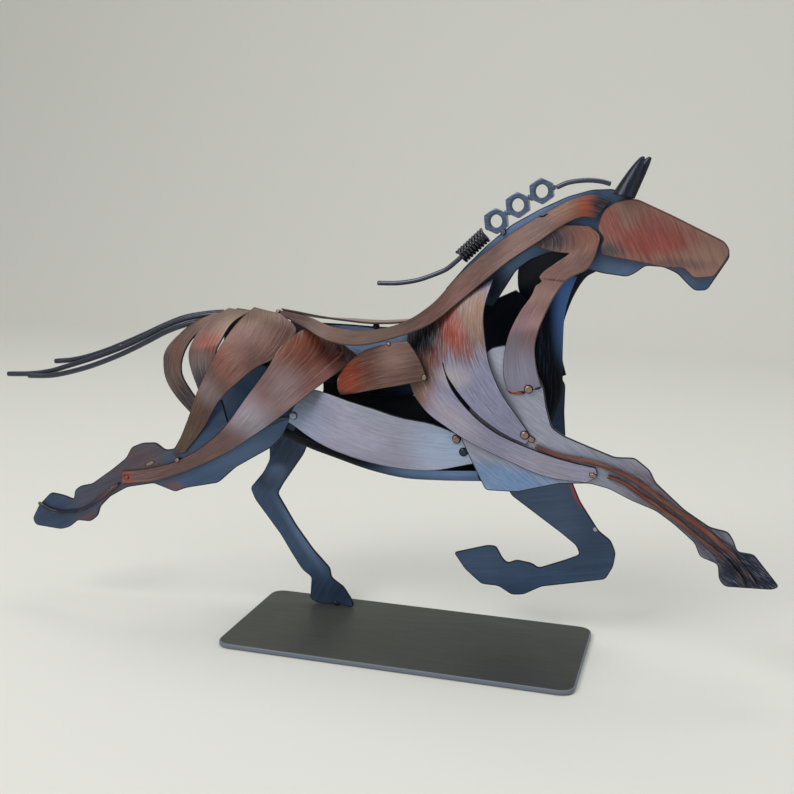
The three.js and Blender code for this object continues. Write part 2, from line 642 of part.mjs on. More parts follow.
// Breast sheet: closes the front of the chest between the two throat strips
const breastSide = foreOut - plateThick / 2 - weldGap - sheetThick / 2;
const breastNear = [
  [76.5, 209.5, 7.4], [72.5, 199, 13], [70, 188, 17], [69, 173, breastSide], [68.5, 160, breastSide],
  [69.5, 146, breastSide], [66, 130, breastSide],
];
const breastFar = [
  [77.5, 209.5, -7.2], [74, 199, -11.8], [72, 188, -15], [72, 173, -17], [72.5, 160, -breastSide],
  [72.5, 146, -breastSide], [67, 130, -breastSide],
];
const breastSpec = { rows: 8, cols: 6, bulge: [9, 0, 0] };
addPiece('breast_sheet', sheet([grid(breastNear, breastFar, breastSpec)], near), navy);

// Belly: a leaf on each side, riveted at both ends
const bellyUpper = [[-56.5, 143.5], [-36, 140.5], [-17, 137], [-1, 132.5], [15, 129], [34, 122]];
const bellyLower = [[-69.5, 123.5], [-53, 115.6], [-32, 108.4], [-10, 103.6], [14, 102.8], [38, 108.5]];
const bellyEndOut = foreOut - plateThick / 2 - weldGap - sheetThick / 2;
const bellySpec = {
  form: forms.barrel, lift: 0.5, settle: [0.45, 0.95], endOut: bellyEndOut,
  rise: 0.35, startOut: hindStripOut, round: [2, 0],
};
const bellyRivets = [
  [-66, 127.5, hindStripOut], [28.2, 121.5, bellyEndOut + 0.5], [32.1, 114.6, bellyEndOut],
];
const bellySheet = sheet([grid(bellyUpper, bellyLower, bellySpec)], near);
const bellyHeads = bellyRivets.map((spot) => bead(spot, rivetRadius));
addPiece('belly_strip_near', fuse([bellySheet, ...bellyHeads]), lilac);
const bellyFarSpec = { ...bellySpec, rise: 0 };
addPiece('belly_strip_far', sheet([grid(bellyUpper, bellyLower, bellyFarSpec)], far), navy);

// Keel: a channel under the belly, its two walls turned up inside the belly strips
const keelHalf = 16.4;
const keelTaper = 3;
const keelDeep = 9;
const keelArc = 0.98;       // share of a half turn that the section goes round
const keelLine = edgeCurve([
  [-76, 111.6], [-60, 106.4], [-45, 102.2], [-24, 96.7], [-4, 93.8], [16, 94.2], [40, 95.8],
]);
const keel = [];
const keelRows = 10;
for (let i = 0; i <= keelRows; i += 1) {
  const spot = keelLine.getPoint(i / keelRows);
  const half = keelHalf - keelTaper * (1 - smoothStep(0, 0.2, i / keelRows));
  const row = [];
  for (let j = 0; j <= 6; j += 1) {
    const turn = (j / 6 - 0.5) * Math.PI * keelArc;
    row.push(new THREE.Vector3(spot.x, half * Math.sin(turn), spot.z + keelDeep * (1 - Math.cos(turn))));
  }
  keel.push(row);
}
addPiece('keel_channel', sheet([keel], near), navy);

export default group;
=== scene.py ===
from math import cos, pi, radians, sin

import bpy
import numpy as np
from mathutils import Matrix, Vector


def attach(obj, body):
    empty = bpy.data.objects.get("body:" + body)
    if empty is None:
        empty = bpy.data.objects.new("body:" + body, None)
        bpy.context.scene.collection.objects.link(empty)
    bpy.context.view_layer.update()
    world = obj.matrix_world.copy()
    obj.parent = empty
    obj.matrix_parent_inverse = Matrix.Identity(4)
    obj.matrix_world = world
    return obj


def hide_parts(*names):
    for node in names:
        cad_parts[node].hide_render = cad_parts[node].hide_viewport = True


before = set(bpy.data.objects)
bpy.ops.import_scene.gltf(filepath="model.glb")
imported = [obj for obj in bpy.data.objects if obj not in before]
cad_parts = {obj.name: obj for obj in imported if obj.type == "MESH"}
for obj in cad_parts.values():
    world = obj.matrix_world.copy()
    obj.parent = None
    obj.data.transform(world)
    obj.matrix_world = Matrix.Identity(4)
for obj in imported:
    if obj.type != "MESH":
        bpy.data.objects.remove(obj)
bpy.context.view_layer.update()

mm = 0.001
midY = 10                # the horse's middle plane, measured from the base plate's middle
near, far = -1, 1
sheetThick = 1.2
plateThick = 1.5
weldGap = 0.3
hindNearOut, hindFarOut, foreOut, headOut = 16, 20, 20, 4.4
hindStripOut = hindNearOut + plateThick / 2 + weldGap + sheetThick / 2
foreStripOut = foreOut + plateThick / 2 + weldGap + sheetThick / 2
insideOut = foreOut - plateThick / 2 - weldGap - sheetThick / 2
layer = sheetThick + 0.5
closestOut, closestTop = 3.4, 5.9
hemTurns = np.radians([0, 30, 60, 90])

forms = {
    "rump": {"x": -97, "z": 137, "halfLength": 57, "halfHeight": 48, "halfWidth": 26, "power": 2.3},
    "barrel": {"x": -15, "z": 141, "halfLength": 112, "halfHeight": 45, "halfWidth": 27, "power": 2.6},
    "shoulder": {"x": 46, "z": 135, "halfLength": 62, "halfHeight": 76, "halfWidth": 27, "power": 1.8},
}


# ---- Shapes as arrays ----

def smoothStep(start, end, t):
    # 3k^2 - 2k^3 of the share k of the way from start to end
    k = np.clip((t - start) / (end - start), 0, 1)
    return k * k * (3 - 2 * k)


def unit(v):
    return v / np.maximum(np.linalg.norm(v, axis=-1, keepdims=True), 1e-9)


def alongCurve(points, t):
    # Smooth curve through the points, which may also be a function that gives it: in each span a
    # cubic whose end slopes come from the neighbouring chords, each weighed by the root of its
    # length. Returns (x, z, out) rows.
    if callable(points):
        return points(t)
    p = np.array([[*q, 0][:3] for q in points], float)
    p = np.vstack([2 * p[0] - p[1], p, 2 * p[-1] - p[-2]])
    spans = len(p) - 3
    span = np.minimum((np.clip(t, 0, 1) * spans).astype(int), spans - 1)
    w = (np.clip(t, 0, 1) * spans - span)[:, None]
    a, b, c, d = (p[span + k] for k in range(4))
    ab, bc, cd = (np.sqrt(np.linalg.norm(v - u, axis=1))[:, None] for u, v in ((a, b), (b, c), (c, d)))
    slopeB = ((b - a) / ab - (c - a) / (ab + bc) + (c - b) / bc) * bc
    slopeC = ((c - b) / bc - (d - b) / (bc + cd) + (d - c) / cd) * bc
    return (b + w * slopeB + w * w * (-3 * b + 3 * c - 2 * slopeB - slopeC)
            + w ** 3 * (2 * b - 2 * c + slopeB + slopeC))


def formOut(form, x, z, lift, closest):
    # Distance out to an egg-shaped form: half width times (1 - r^p)^(1/p), where r is the
    # share of the way to the form's outline; never less than closest
    reach = np.hypot((x - form["x"]) / (form["halfLength"] + lift),
                     (z - form["z"]) / (form["halfHeight"] + lift))
    power = form["power"]
    out = (form["halfWidth"] + lift) * (1 - np.minimum(reach, 1) ** power) ** (1 / power)
    return np.hypot(out, closest)


def layGrid(edgeA, edgeB, rows=84, cols=20, form=None, lift=0, bulge=(0, 0, 0), bow=(0, 0),
            settle=(2, 3), endOut=0, rise=0, startOut=0, closest=closestOut, hem=0.006):
    # Points between two edge curves, joined straight across. bulge lifts the middle of each
    # row and bow pushes the first and last row outwards, both by 4s(1 - s). With a form the
    # distance out is the form's, easing to startOut and endOut at the two ends.
    edgeMargin = 0.8
    t = np.concatenate([[0], np.linspace(hem, 1 - hem, rows - 1), [1]])
    a, b = alongCurve(edgeA, t), alongCurve(edgeB, t)
    ahead, behind = np.minimum(1, t + 0.01), np.maximum(0, t - 0.01)
    along = unit(alongCurve(edgeA, ahead) + alongCurve(edgeB, ahead)
                 - alongCurve(edgeA, behind) - alongCurve(edgeB, behind))
    width = np.linalg.norm(b - a, axis=1)
    side = np.clip(edgeMargin / width, 0.02, 0.3)[:, None]
    inner = np.linspace(0, 1, cols - 1)[None, :]
    s = np.hstack([0 * side, side + (1 - 2 * side) * inner, 0 * side + 1])
    crown = (4 * s * (1 - s))[..., None]
    push = bow[1] * smoothStep(0.7, 1, t) - bow[0] * smoothStep(0.3, 0, t)
    p = a[:, None] + (b - a)[:, None] * s[..., None] + along[:, None] * push[:, None, None] * crown
    p = p + np.array(bulge, float) * crown
    if form:
        held = smoothStep(settle[0], settle[1], t)[:, None]
        least = endOut * smoothStep(settle[0] - 0.3, settle[0], t)[:, None]
        low = (1 - smoothStep(0, rise, t) if rise else 0 * t)[:, None]
        onForm = formOut(forms[form], p[..., 0], p[..., 1], lift, closest)
        onForm = (onForm ** 8 + least ** 8) ** (1 / 8)
        p[..., 2] = onForm * (1 - held) * (1 - low) + endOut * held + startOut * low
    steps = np.linalg.norm(np.diff((a + b) / 2, axis=0), axis=1)
    run = np.stack([np.cumsum(np.r_[0, steps])[:, None] + 0 * s, (s - 0.5) * width[:, None]], -1)
    return {"points": p, "run": run}

def placed(points, side):
    # (x, z, out) in the horse's own terms to (x, y, z)
    return np.stack([points[..., 0], midY + side * points[..., 2], points[..., 1]], -1)


def gridQuads(rows, cols):
    ids = np.arange(rows * cols).reshape(rows, cols)
    return np.stack([ids[:-1, :-1], ids[:-1, 1:], ids[1:, 1:], ids[1:, :-1]], -1).reshape(-1, 4)


def shell(grids, side=near, thick=sheetThick, outward=None, hem=0.32):
    # A sheet of even thickness: each grid's points are moved half the thickness both ways
    # along their normals, and a rounded hem joins the two skins round every open edge.
    raw = np.concatenate([placed(g["points"], side).reshape(-1, 3) for g in grids])
    run = np.concatenate([g["run"].reshape(-1, 2) for g in grids])
    sizes = [g["points"].shape[:2] for g in grids]
    starts = np.cumsum([0] + [rows * cols for rows, cols in sizes])
    quads = np.concatenate([gridQuads(*size) + start for size, start in zip(sizes, starts)])
    _, first, merged = np.unique(np.round(raw * 100), axis=0, return_index=True, return_inverse=True)
    merged = merged.reshape(-1)
    p = raw[first]
    count = len(p)
    faces = merged[quads]
    crossed = np.cross(p[faces[:, 2]] - p[faces[:, 0]], p[faces[:, 3]] - p[faces[:, 1]])
    normals = np.zeros_like(p)
    for corner in faces.T:
        np.add.at(normals, corner, crossed)
    normals = unit(normals)
    if (normals @ np.array(outward or (0, side, 0), float)).sum() < 0:
        quads, faces, normals = quads[:, ::-1], faces[:, ::-1], -normals
    start, end = quads.reshape(-1), np.roll(quads, -1, axis=1).reshape(-1)
    open_ = ~np.isin(merged[start] * count + merged[end], merged[end] * count + merged[start])
    start, end = start[open_], end[open_]
    a, b = merged[start], merged[end]
    outwards = unit(np.cross(p[b] - p[a], normals[a]))
    miter = np.zeros_like(p)
    for ends in (a, b):
        np.add.at(miter, ends, outwards)
    size = (miter ** 2).sum(1, keepdims=True)
    miter = np.where(size > 0, 2 * miter / np.maximum(size, 0.5), 0)
    rim = np.unique(a)
    place = np.zeros(count, int)
    place[rim] = np.arange(len(rim))
    step = hem * np.sin(hemTurns[1:]) - hem
    drop = thick / 2 - hem + hem * np.cos(hemTurns[1:])
    profile = list(zip(step, drop)) + list(zip(step[::-1], -drop[::-1]))
    flat = p - hem * miter
    verts = [flat + normals * thick / 2, flat - normals * thick / 2]
    verts += [p[rim] + miter[rim] * e + normals[rim] * n for e, n in profile]
    hems = [lambda v, k=k: 2 * count + k * len(rim) + place[v] for k in range(len(profile))]
    rings = [lambda v: v, *hems, lambda v: v + count]
    walls = [np.stack([r(a), q(a), q(b), r(b)], -1) for r, q in zip(rings, rings[1:])]
    wallRun = np.stack([run[start], run[start], run[end], run[end]], 1)
    uv = np.concatenate([run[quads], run[quads[:, ::-1]]] + [wallRun] * len(walls))
    rimShare = np.zeros(2 * count + len(profile) * len(rim))
    rimShare[2 * count:] = 1
    rimShare[rim] = rimShare[rim + count] = 0.6
    innerShare = np.zeros(len(rimShare))
    innerShare[count:2 * count] = 1
    return {"verts": np.concatenate(verts), "faces": [faces, faces[:, ::-1] + count, *walls],
            "run": uv.reshape(-1, 2), "rim": rimShare, "inner": innerShare, "slot": 0}


def ringed(points, run, rim=0.0, slot=0, ends=True):
    # A closed island from rings of points: quads from each ring to the next, and a polygon over
    # the first and the last; without ends the last ring goes back to the first. It is turned
    # right side out: its volume, the sum of a . (b x c) / 6 over all triangles, must be positive.
    verts, ids = points.reshape(-1, 3), np.arange(points[..., 0].size).reshape(points.shape[:2])
    faces = [ids[:1], ids[-1:, ::-1]] if ends else []
    rows = ids if ends else np.vstack([ids, ids[:1]])
    beside = np.roll(rows, -1, axis=1)
    faces.insert(0, np.stack([rows[:-1], rows[1:], beside[1:], beside[:-1]], -1).reshape(-1, 4))
    volume = 0
    for block in faces:
        fan = verts[block]
        volume += (fan[:, :1] * np.cross(fan[:, 1:-1], fan[:, 2:])).sum()
    if volume < 0:
        faces = [block[:, ::-1] for block in faces]
    loops = np.concatenate([block.reshape(-1) for block in faces])
    rim = (rim + 0.0 * ids).reshape(-1)
    return {"verts": verts, "faces": faces, "run": run.reshape(-1, 2)[loops], "rim": rim, "inner": 0 * rim,
            "slot": slot}


def roundedOutline(outline, radius, steps=5):
    # Corner k is cut by a curve (1-u)^2 start + 2u(1-u) corner + u^2 end, where start and end lie
    # up to the radius away along its two sides
    p = np.array(outline, float)
    before, after = np.roll(p, 1, 0) - p, np.roll(p, -1, 0) - p
    toBefore, toAfter = (np.linalg.norm(v, axis=1)[:, None] for v in (before, after))
    start = p + before / toBefore * np.minimum(radius, toBefore * 0.45)
    end = p + after / toAfter * np.minimum(radius, toAfter * 0.45)
    u = np.linspace(0, 1, steps)[None, :, None]
    rounded = (1 - u) ** 2 * start[:, None] + 2 * u * (1 - u) * p[:, None] + u ** 2 * end[:, None]
    return rounded.reshape(-1, 2)


def slab(outline, toWorld, thick=plateThick, hem=0.35, grain=0):
    # A flat plate: its outline carried round an edge profile of a quarter turn at each face.
    # toWorld turns (a, b, height) into (x, y, z). The two faces are single polygons.
    p = np.array(outline, float)
    area = (p[:, 0] * np.roll(p[:, 1], -1) - p[:, 1] * np.roll(p[:, 0], -1)).sum()
    if area < 0:
        p = p[::-1]
    ahead, behind = unit(np.roll(p, -1, 0) - p), unit(p - np.roll(p, 1, 0))
    outwards = np.stack([ahead[:, 1] + behind[:, 1], -ahead[:, 0] - behind[:, 0]], -1)
    outwards = 2 * outwards / np.maximum((outwards ** 2).sum(1, keepdims=True), 1)
    inset = hem * (1 - np.sin(hemTurns))
    height = thick / 2 - hem + hem * np.cos(hemTurns)
    inset = np.concatenate([[hem + 0.5], inset, inset[::-1], [hem + 0.5]])[:, None]
    height = np.concatenate([[thick / 2], height, -height[::-1], [-thick / 2]])[:, None]
    a, b = (p[:, k] - outwards[:, k] * inset for k in (0, 1))
    turn = radians(grain)
    run = np.stack([a * cos(turn) + b * sin(turn), b * cos(turn) - a * sin(turn)], -1)
    return ringed(toWorld(a, b, height + 0 * a), run, np.where(inset < hem + 0.01, 1.0, 0))


def carry(path, frameN, radius, sides=18):
    # A circle carried along a path: path + radius (N cos a + B sin a), with B = T x N. The last
    # stretch at each end rounds over by a quarter ellipse.
    tangent = unit(np.gradient(path, axis=0))
    n = unit(frameN - (frameN * tangent).sum(1, keepdims=True) * tangent)
    b = np.cross(tangent, n)
    soft = radius * 0.35
    lip = radius - soft + soft * np.sin(hemTurns[:3])
    depth = (soft * (1 - np.cos(hemTurns[:3])))[:, None]
    size = np.concatenate([lip, np.full(len(path) - 2, radius), lip[::-1]])
    first, last = path[:1] + tangent[:1] * depth, path[-1:] - tangent[-1:] * depth[::-1]
    centre = np.concatenate([first, path[1:-1], last])
    pick = np.r_[0, 0, 0, np.arange(1, len(path) - 1), [len(path) - 1] * 3]
    turn = np.linspace(0, 2 * pi, sides, endpoint=False)
    ring = n[pick][:, None] * np.cos(turn)[:, None] + b[pick][:, None] * np.sin(turn)[:, None]
    length = np.cumsum(np.r_[0, np.linalg.norm(np.diff(centre, axis=0), axis=1)])[:, None]
    run = np.stack([length + 0 * turn, turn * radius + 0 * length], -1)
    return ringed(centre[:, None] + ring * size[:, None, None], run)


def rod(points, radius, out=0, steps=72):
    path = placed(alongCurve([[x, z, out] for x, z in points], np.linspace(0, 1, steps)), near)
    return carry(path, np.tile([0.0, -1, 0], (steps, 1)), radius)


def dome(spot, radius, side=near, flat=0.7, sink=0.4, ripple=0, stretch=1, turn=0, axis=None,
         slot=1, seed=0, dimple=0):
    # A rivet head or weld bead: height is flat * radius * sqrt(1 - r^2), with r the share of the
    # radius, less a dimple in its middle; a few sines ripple it round. axis is its own way up.
    rng = np.random.default_rng(seed)
    share = np.r_[np.sin(np.linspace(0.06, pi / 2, 12)), 1]
    angle = np.linspace(0, 2 * pi, 28, endpoint=False)
    waves = np.sin(2 * angle + rng.uniform(0, 6)) + 0.6 * np.sin(5 * angle + rng.uniform(0, 6))
    height = flat * radius * np.sqrt(np.maximum(0, 1 - share ** 2))
    height -= dimple * radius * np.exp(-(share / 0.3) ** 2)
    height[-1] = -sink
    reach = radius * share[:, None] * (1 + ripple * waves)
    a, b = reach * np.cos(angle) * stretch, reach * np.sin(angle)
    up = unit(np.array(axis or (0, side, 0), float))
    across = unit(np.array([cos(radians(turn)), 0, sin(radians(turn))]))
    across = unit(across - (across @ up) * up)
    centre = np.array([spot[0], midY + side * spot[2], spot[1]])
    points = centre + a[..., None] * across + b[..., None] * np.cross(up, across)
    points += height[:, None, None] * up
    ring = np.interp(share, [0.62, 0.86, 1], [0, 0.8, 1])      # a dark ring round the foot
    return ringed(points, np.stack([a, b], -1), ring[:, None], slot)


def makePiece(node, ending, islands, paint):
    # Puts the islands into one mesh, in metres, with the map "run" (along and across the
    # brushing) and the values "rim" and "inner" for the paint
    faces, slots, start = [], [], 0
    for island in islands:
        for block in island["faces"]:
            faces += (block + start).tolist()
            slots += [island["slot"]] * len(block)
        start += len(island["verts"])
    mesh = bpy.data.meshes.new(node + ending)
    mesh.from_pydata((np.concatenate([island["verts"] for island in islands]) * mm).tolist(), [], faces)
    mesh.polygons.foreach_set("material_index", slots)
    run = mesh.uv_layers.new(name="run")
    run.data.foreach_set("uv", (np.concatenate([island["run"] for island in islands]) * mm).reshape(-1))
    for key in ("rim", "inner"):
        values = mesh.attributes.new(key, "FLOAT", "POINT")
        values.data.foreach_set("value", np.concatenate([island[key] for island in islands]))
    mesh.shade_smooth()
    mesh.set_sharp_from_angle(angle=radians(42))
    for material in [paint, *beads] if any(slots) else [paint]:
        mesh.materials.append(material)
    piece = bpy.data.objects.new(node + ending, mesh)
    bpy.context.scene.collection.objects.link(piece)
    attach(piece, "root")
    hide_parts(node)


# ---- Paint ----

def linear(code):
    # "#rrggbb" as it looks on a screen, to the linear colour that the shader takes
    v = np.array([int(code[k:k + 2], 16) for k in (1, 3, 5)]) / 255
    v = np.where(v <= 0.04045, v / 12.92, ((v + 0.055) / 1.055) ** 2.4)
    return (*v.tolist(), 1.0)


class Nodes:
    # Short ways to add nodes to one tree
    def __init__(self, tree):
        self.tree = tree

    def add(self, kind, values=None, **settings):
        node = self.tree.nodes.new(kind)
        for key, value in settings.items():
            setattr(node, key, value)
        for key, value in (values or {}).items():
            self.put(node.inputs[key], value)
        return node

    def put(self, socket, value):
        if isinstance(value, bpy.types.NodeSocket):
            self.tree.links.new(value, socket)
        else:
            socket.default_value = value

    def math(self, operation, *values):
        return self.add("ShaderNodeMath", dict(enumerate(values)), operation=operation).outputs[0]

    def vector(self, operation, *values):
        node = self.add("ShaderNodeVectorMath", dict(enumerate(values)), operation=operation)
        return node.outputs["Value" if operation == "LENGTH" else "Vector"]

    def ramp(self, value, low, high, toLow=0.0, toHigh=1.0, kind="LINEAR"):
        values = dict(enumerate((value, low, high, toLow, toHigh)))
        return self.add("ShaderNodeMapRange", values, interpolation_type=kind).outputs[0]

    def mix(self, share, a, b, blend="MIX"):
        node = self.add("ShaderNodeMix", {0: share, 6: a, 7: b}, data_type="RGBA", blend_type=blend)
        return node.outputs[2]

    def noise(self, vector, scale, detail=2.0, rough=0.5):
        values = {"Vector": vector, "Scale": scale, "Detail": detail, "Roughness": rough}
        return self.add("ShaderNodeTexNoise", values).outputs[0]


def makeGroup(name, inputs, outputs):
    # A shader node group with named sockets: each input's start value is a number or a vector
    tree = bpy.data.node_groups.new(name, "ShaderNodeTree")
    for label, value in inputs.items():
        kind = "NodeSocketVector" if isinstance(value, tuple) else "NodeSocketFloat"
        tree.interface.new_socket(label, in_out="INPUT", socket_type=kind).default_value = value
    for label in outputs:
        tree.interface.new_socket(label, in_out="OUTPUT", socket_type="NodeSocketFloat")
    nodes = Nodes(tree)
    return nodes, nodes.add("NodeGroupInput").outputs, nodes.add("NodeGroupOutput").inputs


def brushMarksGroup():
    # Long thin noise along the brushing: broad marks, fine hairs, slow drift of the tone and
    # the relief that they leave in the paint
    n, given, out = makeGroup("brushMarks", {
        "Run": (0, 0, 0), "Place": (0, 0, 0), "Length": 0.05, "Width": 0.0012, "Wander": 0.0015,
        "Seed": 0.0}, ["Marks", "Fine", "Drift", "Relief"])
    run = n.add("ShaderNodeSeparateXYZ", {0: given["Run"]})
    wobble = n.math("SUBTRACT", n.noise(given["Run"], 38.0), 0.5)
    across = n.math("MULTIPLY_ADD", wobble, given["Wander"], run.outputs[1])

    def stretched(longer, wider, shift):
        u = n.math("DIVIDE", run.outputs[0], n.math("MULTIPLY", given["Length"], longer))
        v = n.math("DIVIDE", across, n.math("MULTIPLY", given["Width"], wider))
        seed = n.math("ADD", given["Seed"], shift)
        return n.add("ShaderNodeCombineXYZ", {0: u, 1: v, 2: seed}).outputs[0]

    broad = n.ramp(n.noise(stretched(1.0, 1.6, 0.0), 1.0, 3.0, 0.6), 0.3, 0.7)
    hairs = n.ramp(n.noise(stretched(0.35, 0.4, 7.3), 1.0, 2.0, 0.6), 0.28, 0.72)
    shifted = n.vector("ADD", given["Place"], n.add("ShaderNodeCombineXYZ", {0: given["Seed"]}).outputs[0])
    n.put(out["Marks"], broad)
    n.put(out["Fine"], hairs)
    n.put(out["Drift"], n.ramp(n.noise(shifted, 45.0, 3.0, 0.55), 0.3, 0.7))
    n.put(out["Relief"], n.math("MULTIPLY_ADD", hairs, 0.5, n.math("MULTIPLY", broad, 0.5)))
    return n.tree


def paintPatchGroup():
    # One brushed patch: the distance from its centre, measured in its own two reaches along X
    # and Z after a turn, roughened by the brush marks, faded softly from 1 to 0 about reach 1
    n, given, out = makeGroup("paintPatch", {
        "Place": (0, 0, 0), "Centre": (0, 0, 0), "Reach": (0.01, 1.0, 0.01),
        "Turn": 0.0, "Soft": 0.5, "Ragged": 0.5, "Marks": 0.5}, ["Mask"])
    away = n.vector("SUBTRACT", given["Place"], given["Centre"])
    angled = {"Vector": away, "Angle": given["Turn"]}
    turned = n.add("ShaderNodeVectorRotate", angled, rotation_type="Y_AXIS").outputs[0]
    shares = n.vector("DIVIDE", turned, given["Reach"])
    reach = n.vector("LENGTH", n.vector("MULTIPLY", shares, (1.0, 0.0, 1.0)))
    rough = n.math("MULTIPLY", n.math("SUBTRACT", given["Marks"], 0.5), given["Ragged"])
    nothing, full = n.math("ADD", 1.0, given["Soft"]), n.math("SUBTRACT", 1.0, given["Soft"])
    n.put(out["Mask"], n.ramp(n.math("ADD", reach, rough), nothing, full, kind="SMOOTHSTEP"))
    return n.tree


def rimPaintAndShadingGroup():
    # Where the colour is different along cut edges and round the feet of beads, partly the edges' own paint
    # and partly painted light and shade along them: the rim value, roughened by the fine hairs
    n, given, out = makeGroup("rimPaintAndShading", {"Rim": 0.0, "Fine": 0.5, "Ragged": 0.4}, ["Mask"])
    rough = n.math("MULTIPLY", n.math("SUBTRACT", given["Fine"], 0.5), given["Ragged"])
    n.put(out["Mask"], n.ramp(n.math("ADD", given["Rim"], rough), 0.45, 0.75, kind="SMOOTHSTEP"))
    return n.tree


brushMarks, paintPatch, rimPaintAndShading = brushMarksGroup(), paintPatchGroup(), rimPaintAndShadingGroup()

# What a finish is: its tone, how strong the brush marks are in it, and how it shines
finishes = {
    "copper": {"tone": "#6f564e", "fleck": "#a88c80", "rim": "#3a2c2c", "rough": 0.4, "metal": 0.4,
               "contrast": 0.5, "fleckShare": 0.34, "length": 0.024, "width": 0.0008, "relief": 0.00007},
    "lilac": {"tone": "#9496a8", "fleck": "#c8c8d8", "rim": "#2c2a32", "rough": 0.4, "metal": 0.35,
              "contrast": 0.24, "fleckShare": 0.36, "length": 0.018, "width": 0.0007, "relief": 0.00007},
    "navy": {"tone": "#3a4f6d", "fleck": "#5a7093", "rim": "#10151f", "rough": 0.36, "metal": 0.35,
             "contrast": 0.22, "fleckShare": 0.14, "length": 0.04, "width": 0.002, "relief": 0.00003},
    "rod": {"tone": "#222a3e", "fleck": "#42506e", "rim": "#10141c", "rough": 0.26, "metal": 0.4,
            "contrast": 0.2, "fleckShare": 0.15, "length": 0.03, "width": 0.002, "relief": 0.00002},
    "head": {"tone": "#84645b", "fleck": "#a98a7e", "rim": "#5a3a36", "rough": 0.46, "metal": 0.4,
             "contrast": 0.26, "fleckShare": 0.3, "length": 0.02, "width": 0.0009, "relief": 0.00006},
    "base": {"tone": "#393b38", "fleck": "#474944", "rim": "#6c7480", "rough": 0.5, "metal": 0.1,
             "contrast": 0.06, "fleckShare": 0.1, "length": 0.05, "width": 0.004, "relief": 0.00002},
    "bead": {"tone": "#8c726a", "fleck": "#d0bcb2", "rim": "#17141a", "rough": 0.28, "metal": 0.55,
             "contrast": 0.3, "fleckShare": 0.3, "length": 0.004, "width": 0.001, "relief": 0.00005},
}
# What every finish has unless it says otherwise. The tone of the face turned inward is painted shade:
# near-black, as deep inside the hollow body; None leaves the same paint on both faces.
anyFinish = {"inside": "#070b14", "specular": 0.3, "coat": 0.1}


def paintMaterial(name, finish, patches=(), seed=0.0, **changes):
    # The finish's tone, its patches laid over it one by one, then brush marks over all of it.
    # A patch is (tone, x, z, reach along, reach across, turn in degrees, soft, ragged, amount).
    look = {**anyFinish, **finishes[finish], **changes}
    material = bpy.data.materials.new(name)
    material.use_nodes = True
    material.node_tree.nodes.clear()
    n = Nodes(material.node_tree)
    place = n.add("ShaderNodeTexCoord").outputs["Object"]
    run = n.add("ShaderNodeUVMap", uv_map="run").outputs[0]
    marks = n.add("ShaderNodeGroup", {"Run": run, "Place": place, "Length": look["length"],
                                      "Width": look["width"], "Seed": seed}, node_tree=brushMarks).outputs
    tone = linear(look["tone"])
    for patchTone, x, z, along, across, turn, soft, ragged, amount in patches:
        patch = n.add("ShaderNodeGroup", {
            "Place": place, "Centre": (x * mm, 0, z * mm), "Reach": (along * mm, 1, across * mm),
            "Turn": radians(turn), "Soft": soft, "Ragged": ragged, "Marks": marks["Marks"]},
            node_tree=paintPatch).outputs[0]
        tone = n.mix(n.math("MULTIPLY", patch, amount), tone, linear(patchTone))
    strength = look["contrast"]
    streaks = n.math("MULTIPLY_ADD", marks["Drift"], 0.5, marks["Marks"])
    shade = n.ramp(streaks, 0.0, 1.5, 1 - strength, 1 + strength)
    grey = n.add("ShaderNodeCombineColor", {0: shade, 1: shade, 2: shade}).outputs[0]
    tone = n.mix(1.0, tone, grey, "MULTIPLY")
    tone = n.mix(n.ramp(marks["Fine"], 0.55, 1.0, 0.0, look["fleckShare"]), tone, linear(look["fleck"]))
    rim = n.add("ShaderNodeAttribute", attribute_name="rim").outputs["Fac"]
    # Cut edges and bead feet take the rim tone: partly their own paint, partly painted shade
    rimPaintAndShadingNode = n.add("ShaderNodeGroup", {"Rim": rim, "Fine": marks["Fine"]}, node_tree=rimPaintAndShading)
    tone = n.mix(rimPaintAndShadingNode.outputs[0], tone, linear(look["rim"]))
    # The face turned inward takes the painted shade tone
    if look["inside"]:
        inner = n.add("ShaderNodeAttribute", attribute_name="inner").outputs["Fac"]
        tone = n.mix(inner, tone, linear(look["inside"]))
    rough = n.ramp(marks["Fine"], 0.0, 1.0, look["rough"] - 0.05, look["rough"] + 0.07)
    bump = n.add("ShaderNodeBump", {"Height": marks["Relief"], "Strength": 1.0, "Distance": look["relief"]})
    shader = n.add("ShaderNodeBsdfPrincipled", {
        "Base Color": tone, "Roughness": rough, "Metallic": look["metal"], "Normal": bump.outputs[0],
        "Specular IOR Level": look["specular"], "Coat Weight": look["coat"], "Coat Roughness": 0.25})
    n.add("ShaderNodeOutputMaterial", {"Surface": shader.outputs[0]})
    return material


beads = [paintMaterial("beadPaint", "bead", seed=3.0),
         paintMaterial("navyBeadPaint", "navy", seed=4.0, tone="#26303f", fleck="#56657c", rough=0.3,
                       metal=0.5),
         paintMaterial("redBeadPaint", "bead", seed=5.0, tone="#8a4a3c", fleck="#c08a7c")]
navyBead, redBead = 2, 3      # their slots, after the piece's own paint and the copper bead
print("paint ready")


# ---- Base plate ----

# The base plate's two patches are painted light and shade: lighter towards the left end, darker towards the
# right end.
basePlate = {"length": 200, "width": 87.5, "thick": 2.5, "corner": 9, "hem": 0.5,
             "patches": [("#4a4c45", -95, 8, 60, 400, 0, 0.9, 0.2, 0.5),
                         ("#2f3133", 95, 0, 60, 400, 0, 0.9, 0.2, 0.5)]}


def makeBasePlate(spec):
    # A lying slab with round corners, raised by half its thickness to stand on z = 0
    a, b = spec["length"] / 2, spec["width"] / 2
    outline = roundedOutline([[-a, -b], [a, -b], [a, b], [-a, b]], spec["corner"], 10)

    def lying(x, y, height):
        return np.stack([x, y, height + spec["thick"] / 2], -1)

    paint = paintMaterial("basePaint", "base", spec["patches"])
    makePiece("base_plate", "_painted", [slab(outline, lying, spec["thick"], spec["hem"])], paint)


makeBasePlate(basePlate)

# ---- Flat legs, crest and head ----

soleZ = basePlate["thick"] + weldGap
cornerRadius = 2

